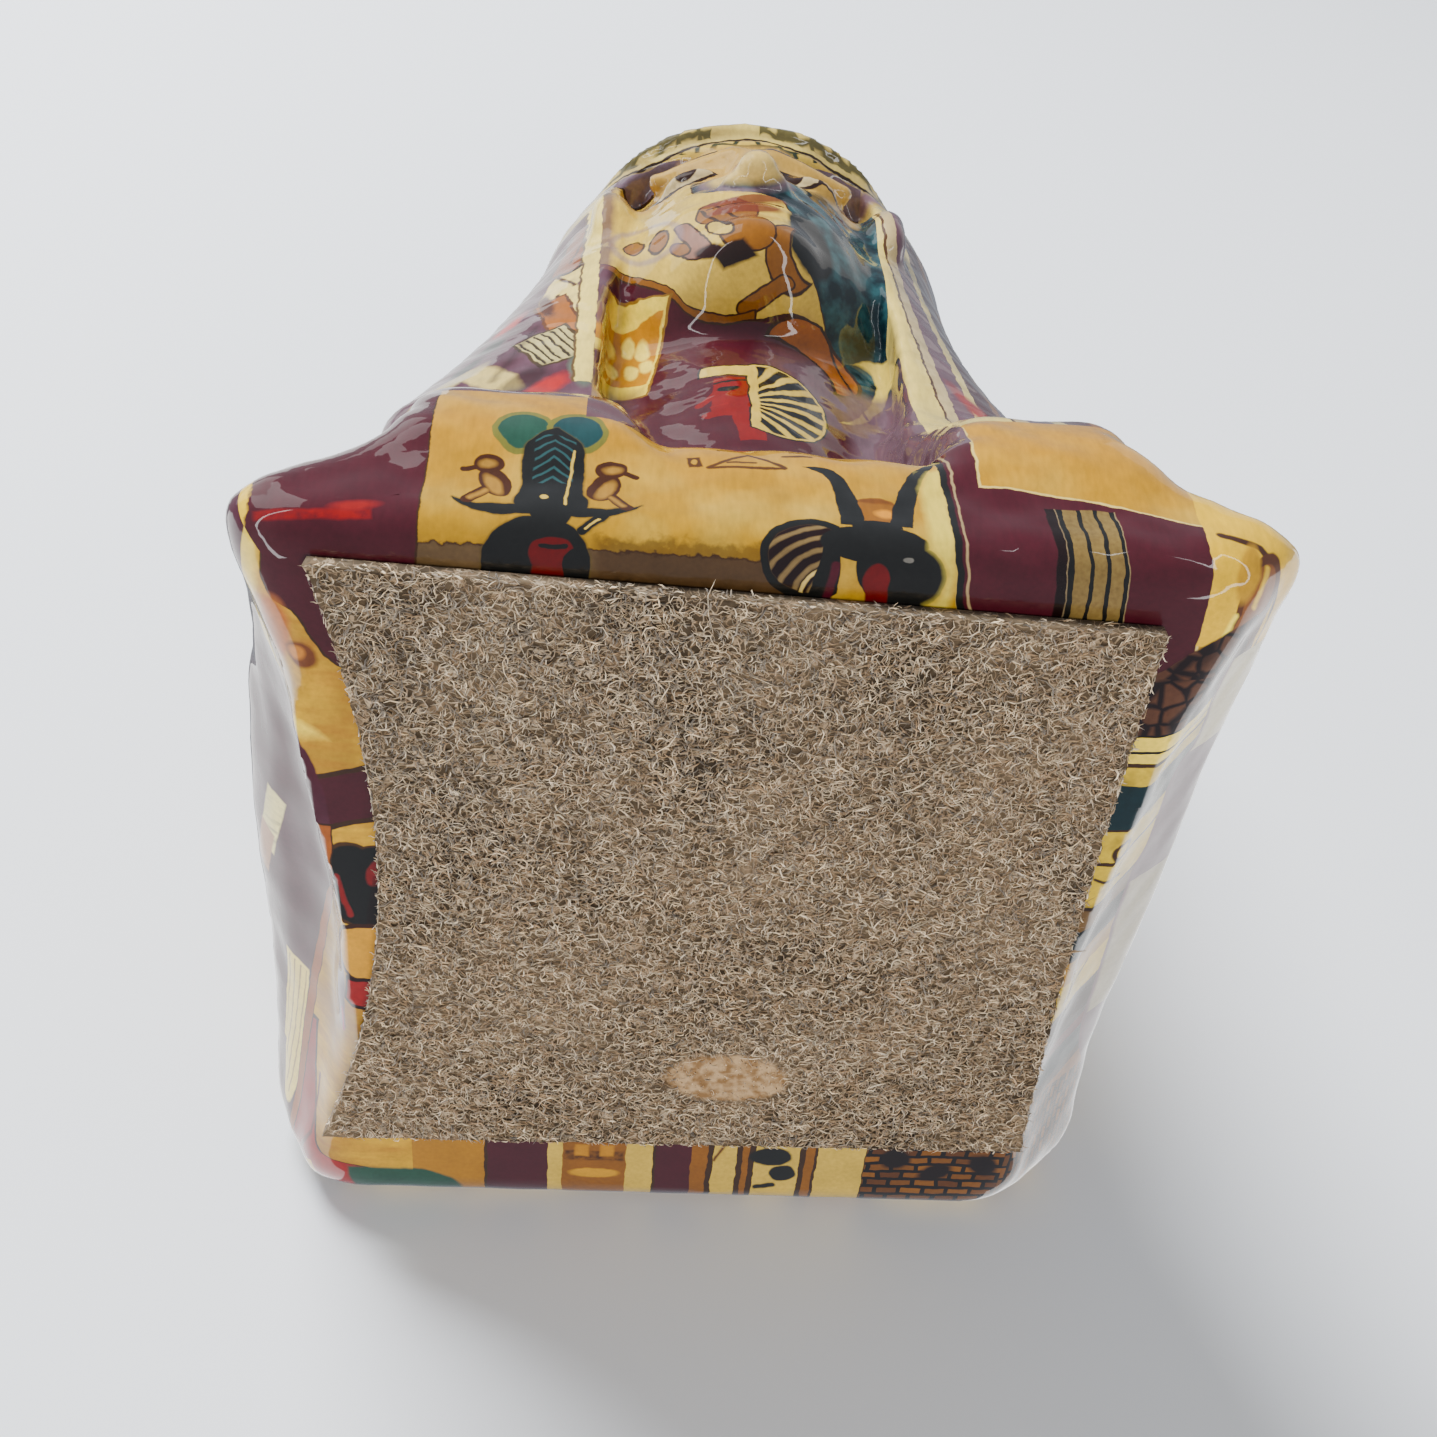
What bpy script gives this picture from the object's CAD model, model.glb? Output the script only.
import math

import bmesh
import bpy
import numpy as np
from mathutils import Matrix, Vector


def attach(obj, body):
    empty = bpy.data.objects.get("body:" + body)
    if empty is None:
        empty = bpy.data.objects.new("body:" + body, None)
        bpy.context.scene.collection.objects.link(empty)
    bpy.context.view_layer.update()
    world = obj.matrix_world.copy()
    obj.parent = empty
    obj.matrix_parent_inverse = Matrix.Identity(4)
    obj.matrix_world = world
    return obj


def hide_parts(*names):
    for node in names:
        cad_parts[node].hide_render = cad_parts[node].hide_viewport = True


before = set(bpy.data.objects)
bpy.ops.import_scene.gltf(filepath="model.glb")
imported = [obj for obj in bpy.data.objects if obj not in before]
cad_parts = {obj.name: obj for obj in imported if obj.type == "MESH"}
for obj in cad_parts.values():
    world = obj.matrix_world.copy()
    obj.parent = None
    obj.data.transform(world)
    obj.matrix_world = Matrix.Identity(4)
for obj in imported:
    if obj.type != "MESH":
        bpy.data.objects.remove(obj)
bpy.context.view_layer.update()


# The bust: head, headdress, shoulders and plinth, cast in one piece in a mould and a little uneven
# from left to right. Printed paper is glued round it in patches, and thick clear lacquer, poured
# and brushed over the paper, rounds off every edge. Sizes are in millimetres, -Y is the front.
MIDDLE_X = 1.65  # the face's middle line
SHOULDER_HALF = 45.6
FRONT_Y = -41
BACK_Y = 42
FOOT_Z = 2
FOOT_EDGE = 4.2
CORNER_EDGE = 7
LEDGE_EDGE = 6
LEDGE_Z = 18.5
LEDGE_DIP = 6.5
WAIST_Y = 3
WAIST_REACH = 42
LEFT_SIDE = {"flare": 1.9, "foot": 8.6, "top": 0.9}
RIGHT_SIDE = {"flare": 5.6, "foot": 5, "top": 2.6}
BACK_NARROW = 1.8
BACK_SKEW = 3.5
MOUND = ((-1.5, 1, 14), (41, 38.5, 31))

LAPPET_OUTER = 31.5
LAPPET_INNER = 13
LAPPET_SHIFT = 1.5
LAPPET_Y = -42.2
LAPPET_EDGE_Z = 22.5
LAPPET_LEAN = 0.66

WING_Z = 50
TEMPLE_Z = 95
CROWN_Z = 130
WING_LEFT = 37.5
WING_RIGHT = 31
TEMPLE_HALF = 26.5
HOOD_BACK = 29
OPENING_HALF = 15.6
OPENING_BACK = -23
OPENING_TOP_Z = 105
HEM = ((0, -21, 107.5), (18.5, 13.6, 3))
SERPENT = ((0, -29.4, 112), (2.4, 2.8, 5.5))
TAIL = ((0, 20, 52), (9, 15, 34))
EAR = ((16.6, -28.5, 89), (2.2, 3, 5.2))

NECK_Y = -11
NECK_SIZE = (14.6, 16.8)
JAW = ((0, -19, 77), (16, 18, 15.5))
FACE = ((0, -18, 90), (15.2, 18, 21))
CHIN = ((0, -31, 69.5), (6.5, 7, 4.5))
NOSE = ((0, -34.2, 94.5), (0, -38.2, 83.2), 1.5, 2.3)
NOSTRIL = ((2.3, -35.9, 82.6), (1.7, 2.2, 1.5))
UPPER_LIP = ((0, -34.8, 77.7), (4.8, 3, 1.1))
LOWER_LIP = ((0, -34.6, 75.5), (4.2, 3, 1.3))
SOCKET = ((6.3, -38, 91.2), (5, 4, 3))
EYE = ((6.3, -31.2, 91.2), (4.1, 3.6, 1.9))
BROW = ((2.4, -35, 95.6), (11, -31.4, 95), 1.1, 1.1)

SKIN_PITCH = 0.8  # spacing of the grid that the skin is laid over
RIPPLE = 0.07  # the lacquer's unevenness, up and down


def mix(a, b, t):
    return a + (b - a) * t


def ease(v, low, high):
    t = np.clip((v - low) / (high - low), 0, 1)
    return t * t * (3 - 2 * t)


def soft_max(a, b, k):
    h = np.maximum(k - np.abs(a - b), 0) / k
    return np.maximum(a, b) + h * h * k / 4


def soft_min(a, b, k):
    return -soft_max(-a, -b, k)


def lump(x, y, z, shape):
    (cx, cy, cz), (sx, sy, sz) = shape
    dx, dy, dz = x - cx, y - cy, z - cz
    near = np.sqrt((dx / sx) ** 2 + (dy / sy) ** 2 + (dz / sz) ** 2)
    slope = np.sqrt((dx / sx**2) ** 2 + (dy / sy**2) ** 2 + (dz / sz**2) ** 2) + 1e-9
    return near * (near - 1) / slope


def rod(x, y, z, shape):
    start, end, r0, r1 = shape
    d = np.subtract(end, start)
    px, py, pz = x - start[0], y - start[1], z - start[2]
    t = np.clip((px * d[0] + py * d[1] + pz * d[2]) / (d @ d), 0, 1)
    gap = np.sqrt((px - d[0] * t) ** 2 + (py - d[1] * t) ** 2 + (pz - d[2] * t) ** 2)
    return gap - mix(r0, r1, t)


def plinth(x, y, z):
    left = x < 0
    flare = np.where(left, LEFT_SIDE["flare"], RIGHT_SIDE["flare"])
    foot = np.where(left, LEFT_SIDE["foot"], RIGHT_SIDE["foot"])
    top = np.where(left, LEFT_SIDE["top"], RIGHT_SIDE["top"])
    bow = np.maximum(0, 1 - ((y - WAIST_Y) / WAIST_REACH) ** 2)
    drawn_in = mix(foot, top, ease(z, 5, 17)) * bow + flare * (1 - ease(z, 3, 11))
    drawn_in = drawn_in + BACK_NARROW * ease(y, -10, BACK_Y)
    skew = BACK_SKEW * (y - FRONT_Y) / (BACK_Y - FRONT_Y)
    side = np.abs(x + skew) - (SHOULDER_HALF - drawn_in)
    walls = soft_max(soft_max(side, FRONT_Y - y, CORNER_EDGE), y - BACK_Y, CORNER_EDGE)
    edged = soft_max(walls, FOOT_Z - z, FOOT_EDGE)
    dip = LEDGE_DIP * ease(np.abs(x), 30, 43) * ease(-y, 12, 34)
    return soft_max(edged, z - LEDGE_Z + dip, LEDGE_EDGE)


def lappets(x, y, z):
    inner = LAPPET_INNER + LAPPET_SHIFT * np.sign(x)
    across = soft_max(np.abs(x) - LAPPET_OUTER, inner - np.abs(x), 4)
    sloped = LAPPET_Y + LAPPET_LEAN * (z - LAPPET_EDGE_Z) - y
    front = soft_max(LAPPET_Y - y, sloped / math.hypot(1, LAPPET_LEAN), 3)
    ends = soft_max(12 - z, z - 50, 4)
    return soft_max(soft_max(across, front, 4.5), soft_max(ends, y + 12, 3), 5)


def hood(x, y, z):
    up = np.clip((z - WING_Z) / (TEMPLE_Z - WING_Z), 0, 1)
    t = np.sin(up * math.pi / 2)
    half = np.where(x < 0, mix(WING_LEFT, TEMPLE_HALF, up), mix(WING_RIGHT, TEMPLE_HALF, t))
    widest_y = mix(-21, -9, t)
    depth = np.where(y < widest_y, mix(10, 24.5, t), HOOD_BACK - widest_y)
    rise = np.maximum(z - TEMPLE_Z, 0) / (CROWN_Z - TEMPLE_Z)
    near = np.sqrt((x / half) ** 2 + ((y - widest_y) / depth) ** 2 + rise**2)
    fall = (x / half**2) ** 2 + ((y - widest_y) / depth**2) ** 2 + (rise / (CROWN_Z - TEMPLE_Z)) ** 2
    cloth = near * (near - 1) / (np.sqrt(fall) + 1e-9)
    cloth = soft_min(cloth, lump(x, y, z, TAIL), 6)
    opening = soft_max(np.abs(x) - OPENING_HALF, y - OPENING_BACK, 2)
    cloth = soft_max(cloth, -soft_max(opening, z - OPENING_TOP_Z, 4), 1.6)
    return soft_min(soft_min(cloth, lump(x, y, z, HEM), 1.6), lump(x, y, z, SERPENT), 1.5)


def head(x, y, z):
    x = x - 1.5 * np.clip((z - 40) / 55, 0, 1.3)
    twin = np.abs(x)
    neck = np.sqrt((x / NECK_SIZE[0]) ** 2 + ((y - NECK_Y) / NECK_SIZE[1]) ** 2)
    neck = soft_max((neck - 1) * NECK_SIZE[0], z - 82, 3)
    skin = soft_min(lump(x, y, z, JAW), lump(x, y, z, FACE), 5)
    skin = soft_min(skin, lump(x, y, z, CHIN), 4)
    skin = soft_max(skin, -lump(twin, y, z, SOCKET), 2.4)
    skin = soft_min(skin, lump(twin, y, z, EYE), 0.7)
    skin = soft_min(skin, rod(twin, y, z, BROW), 1.6)
    skin = soft_min(skin, rod(x, y, z, NOSE), 2)
    skin = soft_min(skin, lump(twin, y, z, NOSTRIL), 1.2)
    skin = soft_min(skin, lump(x, y, z, UPPER_LIP), 0.8)
    skin = soft_min(skin, lump(x, y, z, LOWER_LIP), 0.8)
    cloth = soft_min(hood(x, y, z), lump(twin, y, z, EAR), 1.2)
    return soft_min(soft_min(neck, skin, 1.6), cloth, 5)


def body(x, y, z):
    x = x - MIDDLE_X
    mound = soft_max(lump(x, y, z, MOUND), 13 - z, 3)
    chest = soft_min(soft_min(plinth(x, y, z), mound, 6), lappets(x, y, z), 3.5)
    whole = soft_min(chest, head(x, y, z), mix(4, 12, ease(y, -5, 20)))
    return np.maximum(whole, FOOT_Z - z)


def lacquered(x, y, z):
    wave = np.sin(0.83 * x + 1.9 * np.sin(0.31 * z) + 0.7) * np.sin(0.71 * z + 1.4 * np.sin(0.37 * y))
    wave = wave + 0.6 * np.sin(0.9 * y + 1.3 * np.sin(0.43 * x)) * np.sin(1.27 * z + 0.8 * x)
    return body(x, y, z) + RIPPLE * wave * ease(z, FOOT_Z + 0.1, FOOT_Z + 1.5)


def slope(field, p, nudge=0.02):
    base = field(*p.T)
    steps = [field(*(p + nudge * axis).T) - base for axis in np.eye(3)]
    return base, np.stack(steps, 1) / nudge


def onto(field, p, low=None, high=None, rounds=5):
    for _ in range(rounds):
        base, g = slope(field, p)
        p = p - (base / ((g * g).sum(1) + 1e-9))[:, None] * g
        if low is not None:
            p = np.clip(p, low, high)
    return p


def skin_over(field, low, high, pitch):
    lines = [np.arange(a, b, pitch) for a, b in zip(low, high)]
    value = np.empty([len(line) for line in lines])
    for k, z in enumerate(lines[2]):
        x, y = np.meshgrid(lines[0], lines[1], indexing="ij")
        value[:, :, k] = field(x, y, np.full_like(x, z))
    inside = value < 0
    cells = tuple(n - 1 for n in value.shape)
    total, crossings = np.zeros((*cells, 3)), np.zeros(cells)
    for axis in range(3):
        for side in range(4):
            offset = [0, 0, 0]
            offset[(axis + 1) % 3], offset[(axis + 2) % 3] = side & 1, side >> 1
            near = tuple(slice(o, o + n) for o, n in zip(offset, cells))
            offset[axis] = 1
            far = tuple(slice(o, o + n) for o, n in zip(offset, cells))
            crossed = inside[near] != inside[far]
            t = value[near] / np.where(crossed, value[near] - value[far], 1)
            offset[axis] = 0
            for d in range(3):
                total[..., d] += crossed * (t if d == axis else offset[d])
            crossings += crossed
    used = crossings > 0
    cell_low = np.stack(np.nonzero(used), 1) * pitch + np.array(low)
    start = cell_low + total[used] / crossings[used][:, None] * pitch
    points = onto(field, start, cell_low + 0.03 * pitch, cell_low + 0.97 * pitch)
    number = np.full(cells, -1)
    number[used] = np.arange(len(points))
    quads = []
    for axis in range(3):
        b, c = np.eye(3, dtype=int)[(axis + 1) % 3], np.eye(3, dtype=int)[(axis + 2) % 3]
        at = np.stack(np.nonzero(inside != np.roll(inside, -1, axis)), 1)
        at = at[at[:, axis] < value.shape[axis] - 1]
        quad = np.stack([number[tuple((at - o).T)] for o in (b + c, c, 0 * b, b)], 1)
        quads.append(np.where(inside[tuple(at.T)][:, None], quad, quad[:, ::-1]))
    return points, np.concatenate(quads)


skin_points, skin_quads = skin_over(lacquered, (-47, -45, 0.4), (47, 45, 132), SKIN_PITCH)
bust_mesh = bpy.data.meshes.new("bust_lacquered")
bust_mesh.from_pydata(skin_points.tolist(), [], skin_quads.tolist())

# Each sheet of paper ends along a straight cut: at the plinth's foot and corners, under its ledge,
# across the shoulders and down the sides of the neck.
FOOT_CUT_Z = 3.4
WALL_CUT_Z = 15.5
LAPPET_CUT_Z = 23
CHEST_CUT_Z = 17.6
BROW_CUT_Z = 105
NECK_CUT_X = (-14.3, 17.8)
SIDE_CUT_X = (-29, 31.5)
RIGHT_CUT_Y = -30
SHOULDER_CUT_Y = -15
CUTS = [((0, 0, z), (0, 0, 1)) for z in (FOOT_CUT_Z, WALL_CUT_Z, LAPPET_CUT_Z, CHEST_CUT_Z, BROW_CUT_Z)]
CUTS += [((x, 0, 0), (1, 0, 0)) for x in NECK_CUT_X + SIDE_CUT_X]
CUTS += [((0, y, 0), (0, 1, 0)) for y in (RIGHT_CUT_Y, SHOULDER_CUT_Y)]
CUTS += [((-39.6, -38.6, 0), (1, -1, 0)), ((-40.5, 38.5, 0), (1, 1, 0)), ((36.5, 38.5, 0), (1, -1, 0))]
cutting = bmesh.new()
cutting.from_mesh(bust_mesh)
for cut_point, cut_normal in CUTS:
    parts = cutting.verts[:] + cutting.edges[:] + cutting.faces[:]
    bmesh.ops.bisect_plane(cutting, geom=parts, dist=0.02, plane_co=cut_point, plane_no=cut_normal)
cutting.to_mesh(bust_mesh)
cutting.free()

bust_points = np.empty(len(bust_mesh.vertices) * 3)
bust_mesh.vertices.foreach_get("co", bust_points)
bust_points = bust_points.reshape(-1, 3)
bust_slope = slope(lacquered, bust_points)[1]
bust_normals = bust_slope / np.linalg.norm(bust_slope, axis=1)[:, None]
centres = np.empty(len(bust_mesh.polygons) * 3)
bust_mesh.polygons.foreach_get("center", centres)
cx, cy, cz = centres.reshape(-1, 3).T
FRONT_SHEET, LEFT_SHEET, RIGHT_SHEET, BACK_SHEET, HOOD_SHEET, WINGS_SHEET, NECK_SHEET = range(7)
sheet_of = np.full(len(centres) // 3, HOOD_SHEET)
ahead = cy < SHOULDER_CUT_Y
wall = cz < WALL_CUT_Z
sheet_of[ahead] = WINGS_SHEET
sheet_of[ahead & (cz < LAPPET_CUT_Z)] = FRONT_SHEET
sheet_of[cz < FOOT_CUT_Z] = FRONT_SHEET
sheet_of[wall & (cx < SIDE_CUT_X[0]) & (cx + 39.6 < cy + 38.6)] = LEFT_SHEET
sheet_of[wall & (cx > SIDE_CUT_X[1]) & (cy > RIGHT_CUT_Y)] = RIGHT_SHEET
to_back = (cy - 38.5 > -(cx + 40.5)) & (cy - 38.5 > cx - 36.5)
sheet_of[wall & to_back & (cz > FOOT_CUT_Z)] = BACK_SHEET
between = ahead & (cx > NECK_CUT_X[0]) & (cx < NECK_CUT_X[1])
sheet_of[between & (cz > CHEST_CUT_Z) & (cz < BROW_CUT_Z)] = NECK_SHEET
bust_mesh.polygons.foreach_set("material_index", sheet_of.astype(np.int32))
bust_mesh.vertices.foreach_set("co", (bust_points / 1000).ravel())
bust_mesh.shade_smooth()
bust_mesh.normals_split_custom_set_from_vertices(bust_normals.tolist())
bust = bpy.data.objects.new("bust_lacquered", bust_mesh)
bpy.context.scene.collection.objects.link(bust)
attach(bust, "root")
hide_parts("bust")


# The printed paper: figures, signs and borders in a few flat inks, drawn shape by shape in
# millimetres on the sheet, under the same clear lacquer everywhere.
def ink(code):
    """An ink's own colour, from the one it shows under the studio light, which is twice as bright."""
    parts = [int(code[i : i + 2], 16) / 255 for i in (0, 2, 4)]
    shown = [c / 12.92 if c <= 0.04045 else ((c + 0.055) / 1.055) ** 2.4 for c in parts]
    top = max(shown)
    bright = max(top - 0.35, 0)
    purer = [max(top + (c - top) * (1 + 0.75 * bright), 0) * (1 + 2.2 * bright) for c in shown]
    return (*[max(c * 0.5 - 0.006, 0.001) for c in purer], 1)


MUSTARD = ink("BE9448")
CREAM = ink("D2B672")
MAROON = ink("5C2630")
RED = ink("9C2018")
TEAL = ink("2C5456")
SEA_GREEN = ink("34604E")
CHARCOAL = ink("2A2A29")
BROWN = ink("4E3422")
RUST = ink("A66A2A")
OLIVE = ink("7A6040")
MAUVE = ink("8A7280")
LIME = ink("8E8A3C")


class Print:
    """One sheet: shapes are printed one over the other, and lacquer goes over them all."""

    def __init__(self, name):
        self.material = bpy.data.materials.new(name)
        self.material.use_nodes = True
        self.nodes = self.material.node_tree.nodes
        self.shader = self.nodes["Principled BSDF"]
        place = self.nodes.new("ShaderNodeTexCoord")
        self.place = self.vector("SCALE", place.outputs["Object"], scale=1000)
        parts = self.nodes.new("ShaderNodeSeparateXYZ")
        self.link(self.place, parts.inputs[0])
        self.x, self.y, self.z = parts.outputs

    def link(self, value, socket):
        if isinstance(value, bpy.types.NodeSocket):
            self.material.node_tree.links.new(value, socket)
        else:
            socket.default_value = value

    def math(self, operation, *values, clamp=False):
        node = self.nodes.new("ShaderNodeMath")
        node.operation = operation
        node.use_clamp = clamp
        for value, socket in zip(values, node.inputs):
            self.link(value, socket)
        return node.outputs[0]

    def vector(self, operation, *values, scale=None):
        node = self.nodes.new("ShaderNodeVectorMath")
        node.operation = operation
        for value, socket in zip(values, node.inputs):
            self.link(value, socket)
        if scale is not None:
            node.inputs["Scale"].default_value = scale
        return node.outputs["Value"] if operation == "LENGTH" else node.outputs[0]

    def blend(self, cover, under, over, way="MIX"):
        node = self.nodes.new("ShaderNodeMixRGB")
        node.blend_type = way
        for value, socket in zip((cover, under, over), node.inputs):
            self.link(value, socket)
        return node.outputs[0]

    def grain(self, fineness, detail=2.0, stretch=None, at=None):
        at = self.place if at is None else at
        if stretch is not None:
            at = self.vector("MULTIPLY", at, stretch)
        node = self.nodes.new("ShaderNodeTexNoise")
        self.link(at, node.inputs["Vector"])
        node.inputs["Scale"].default_value = fineness
        node.inputs["Detail"].default_value = detail
        return node.outputs

    def lay_out(self, u, v, wobble=0.5):
        """Sets the sheet's own flat coordinates, with the print a little uneven."""
        join = self.nodes.new("ShaderNodeCombineXYZ")
        self.link(u, join.inputs[0])
        self.link(v, join.inputs[1])
        drift = self.vector("SUBTRACT", self.grain(0.55)["Color"], (0.5, 0.5, 0.5))
        drift = self.vector("MULTIPLY", drift, (wobble, wobble, 0))
        self.at = self.vector("ADD", join.outputs[0], drift)
        parts = self.nodes.new("ShaderNodeSeparateXYZ")
        self.link(self.at, parts.inputs[0])
        self.u, self.v = parts.outputs[0], parts.outputs[1]

    def moved(self, u, v, turn=0, at=None):
        at = self.at if at is None else at
        if turn == 0:
            return self.vector("SUBTRACT", at, (u, v, 0))
        node = self.nodes.new("ShaderNodeMapping")
        node.vector_type = "TEXTURE"
        self.link(at, node.inputs["Vector"])
        node.inputs["Location"].default_value = (u, v, 0)
        node.inputs["Rotation"].default_value = (0, 0, math.radians(turn))
        return node.outputs[0]

    def oval(self, u, v, half_w, half_h, turn=0, at=None):
        near = self.vector("MULTIPLY", self.moved(u, v, turn, at), (1 / half_w, 1 / half_h, 0))
        small = min(half_w, half_h)
        return self.math("MULTIPLY_ADD", self.vector("LENGTH", near), small, -small)

    def block(self, u, v, half_w, half_h, turn=0, at=None):
        gap = self.vector("ABSOLUTE", self.moved(u, v, turn, at))
        gap = self.vector("SUBTRACT", gap, (half_w, half_h, 0))
        parts = self.nodes.new("ShaderNodeSeparateXYZ")
        self.link(gap, parts.inputs[0])
        return self.math("MAXIMUM", parts.outputs[0], parts.outputs[1])

    def stroke(self, u0, v0, u1, v1, width, at=None):
        local = self.moved(u0, v0, math.degrees(math.atan2(v1 - v0, u1 - u0)) or 1e-4, at)
        length = math.hypot(u1 - u0, v1 - v0)
        held = self.vector("MINIMUM", self.vector("MAXIMUM", local, (0, 0, 0)), (length, 0, 0))
        reach = self.vector("LENGTH", self.vector("SUBTRACT", local, held))
        return self.math("SUBTRACT", reach, width / 2)

    def bend(self, along, knots):
        """A smooth curve through knots: pairs of a place along the sheet and a value there."""
        knots = sorted(knots)
        (a0, a1), values = (knots[0][0], knots[-1][0]), [value for _, value in knots]
        low_value, span = min(values), max(max(values) - min(values), 1e-6)
        node = self.nodes.new("ShaderNodeFloatCurve")
        curve = node.mapping.curves[0]
        places = [((a - a0) / (a1 - a0), (b - low_value) / span) for a, b in knots]
        curve.points[0].location, curve.points[-1].location = places[0], places[-1]
        for place in places[1:-1]:
            curve.points.new(*place)
        node.mapping.update()
        t = self.math("MULTIPLY_ADD", along, 1 / (a1 - a0), -a0 / (a1 - a0), clamp=True)
        self.link(t, node.inputs["Value"])
        return self.math("MULTIPLY_ADD", node.outputs[0], span, low_value)

    def bands(self, along, stops):
        """Flat bands of colour, each from its own place on to the next."""
        start, end = stops[0][0], stops[-1][0] + 1
        ramp = self.nodes.new("ShaderNodeValToRGB")
        ramp.color_ramp.interpolation = "CONSTANT"
        elements = ramp.color_ramp.elements
        while len(elements) < len(stops):
            elements.new(1)
        for element, (place, colour) in zip(elements, stops):
            element.position = (place - start) / (end - start)
            element.color = colour
        t = self.math("MULTIPLY_ADD", along, 1 / (end - start), -start / (end - start))
        self.link(t, ramp.inputs[0])
        return ramp.outputs["Color"]

    def any_of(self, *shapes):
        joined = shapes[0]
        for shape in shapes[1:]:
            joined = self.math("MINIMUM", joined, shape)
        return joined

    def both(self, *shapes):
        joined = shapes[0]
        for shape in shapes[1:]:
            joined = self.math("MAXIMUM", joined, shape)
        return joined

    def paint(self, colour, shape, edge=0.09, strength=1):
        cover = self.math("MULTIPLY_ADD", shape, -1 / edge, 0.5, clamp=True)
        if strength != 1:
            cover = self.math("MULTIPLY", cover, strength)
        self.colour = self.blend(cover, self.colour, colour)

    def outlined(self, colour, shape, line=BROWN, width=0.26):
        self.paint(line, self.math("SUBTRACT", shape, width / 2))
        self.paint(colour, self.math("ADD", shape, width / 2))

    def finish(self):
        """Paper grain and the ink's mottling, then the lacquer with its brush marks."""
        mottle = self.grain(0.35, 4.0)["Fac"]
        fibre = self.grain(2.2, 2.0, stretch=(1, 1, 0.22))["Fac"]
        shade = self.math("MULTIPLY_ADD", mottle, 0.5, 0.52)
        shade = self.math("MULTIPLY_ADD", fibre, 0.45, self.math("SUBTRACT", shade, 0.02))
        self.colour = self.blend(1.0, self.colour, shade, "MULTIPLY")
        self.link(self.colour, self.shader.inputs["Base Color"])
        self.shader.inputs["Roughness"].default_value = 0.5
        self.shader.inputs["Specular IOR Level"].default_value = 0.15
        self.shader.inputs["Coat Weight"].default_value = 1
        self.shader.inputs["Coat Roughness"].default_value = 0.02
        self.shader.inputs["Coat IOR"].default_value = 1.5
        brushed = self.grain(0.13, 2.0, stretch=(1, 1, 2.2))["Fac"]
        wrinkled = self.grain(0.42, 1.0)["Fac"]
        relief = self.math("MULTIPLY_ADD", wrinkled, 0.12, brushed)
        bump = self.nodes.new("ShaderNodeBump")
        bump.inputs["Strength"].default_value = 0.3
        bump.inputs["Distance"].default_value = 0.0005
        self.link(relief, bump.inputs["Height"])
        self.link(bump.outputs[0], self.shader.inputs["Coat Normal"])
        return self.material


# The sheet round the front wall and the foot: a mustard panel with two crowned heads on the left
# and middle, a dark red border with stripes on the right, and short ends of other patterns along
# the sides. u runs to the right, and v up the wall and on under the foot.
front = Print("print_front")
turned = front.math("SUBTRACT", 1, front.math("SMOOTH_MAX", front.math("MULTIPLY_ADD", front.z, 1 / 6, -4 / 6, clamp=True), 0, 0.01))
rolled = front.math("MULTIPLY", front.math("ADD", front.y, 41), turned)
front.lay_out(front.x, front.math("SUBTRACT", front.z, rolled), 0.55)
u, v = front.u, front.v
patchy = front.grain(0.12, 3.0)["Fac"]
front.colour = front.blend(front.math("MULTIPLY_ADD", patchy, 3.0, -1.35, clamp=True), MUSTARD, CREAM)
warm = front.math("MULTIPLY_ADD", v, 0.09, -0.5, clamp=True)
front.colour = front.blend(front.math("MULTIPLY", warm, 0.55), front.colour, ink("CF9C3C"))

# the grimy strip between the panel's lower edge and the felt
ragged = front.grain(1.1, 3.0)["Fac"]
strip_top = front.math("MULTIPLY_ADD", ragged, 1.5, -0.1)
strip = front.both(front.math("SUBTRACT", v, strip_top), front.block(-12, -2, 14.6, 5))
front.paint(BROWN, front.math("SUBTRACT", strip, 0.22), 0.2)
front.colour = front.blend(0.0, front.colour, OLIVE)
front.paint(OLIVE, strip, 0.25)
soot = front.both(front.math("SUBTRACT", v, front.math("MULTIPLY_ADD", ragged, 3.6, 0.4)), front.block(-4, 0, 9, 6))
front.paint(BROWN, soot, 0.9, 0.6)

# first head: two green discs over a plume, long thin horns, and a dark dome of hair
front.outlined(SEA_GREEN, front.oval(-19.2, 15.0, 2.25, 2.55), LIME, 0.5)
front.outlined(TEAL, front.oval(-14.9, 15.2, 2.25, 2.5), LIME, 0.5)
half_plume = front.bend(v, [(3.6, 1.2), (5, 1.7), (6.4, 2.9), (8, 2.45), (12.6, 2.4), (13.6, 1.9), (15.4, 0.1)])
plume = front.math("SUBTRACT", front.math("ABSOLUTE", front.math("ADD", u, 16.6)), half_plume)
plume = front.both(plume, front.math("SUBTRACT", 3.5, v), front.math("SUBTRACT", v, 15.4))
horn_mid = front.bend(u, [(-24.2, 6.5), (-23, 5.6), (-21.6, 5.15), (-19, 5.3), (-16.6, 5.5), (-13.6, 5.2), (-11.4, 5.6), (-9.6, 6.5)])
horn_half = front.bend(u, [(-24.3, 0), (-22.8, 0.4), (-20, 0.7), (-14, 0.65), (-11.6, 0.42), (-9.5, 0)])
horns = front.math("SUBTRACT", front.math("ABSOLUTE", front.math("SUBTRACT", v, horn_mid)), horn_half)
horns = front.both(horns, front.block(-16.9, 5.5, 7.3, 3))
dome = front.both(front.oval(-17.5, -1.0, 4.2, 5.5), front.math("SUBTRACT", v, 4.6))
crown = front.any_of(plume, horns, dome, front.stroke(-12.4, 5.0, -14.1, 2.9, 0.85))
front.paint(ink("6E5A2C"), front.math("SUBTRACT", crown, 0.12), 0.2, 0.7)
front.paint(CHARCOAL, crown)
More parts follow.
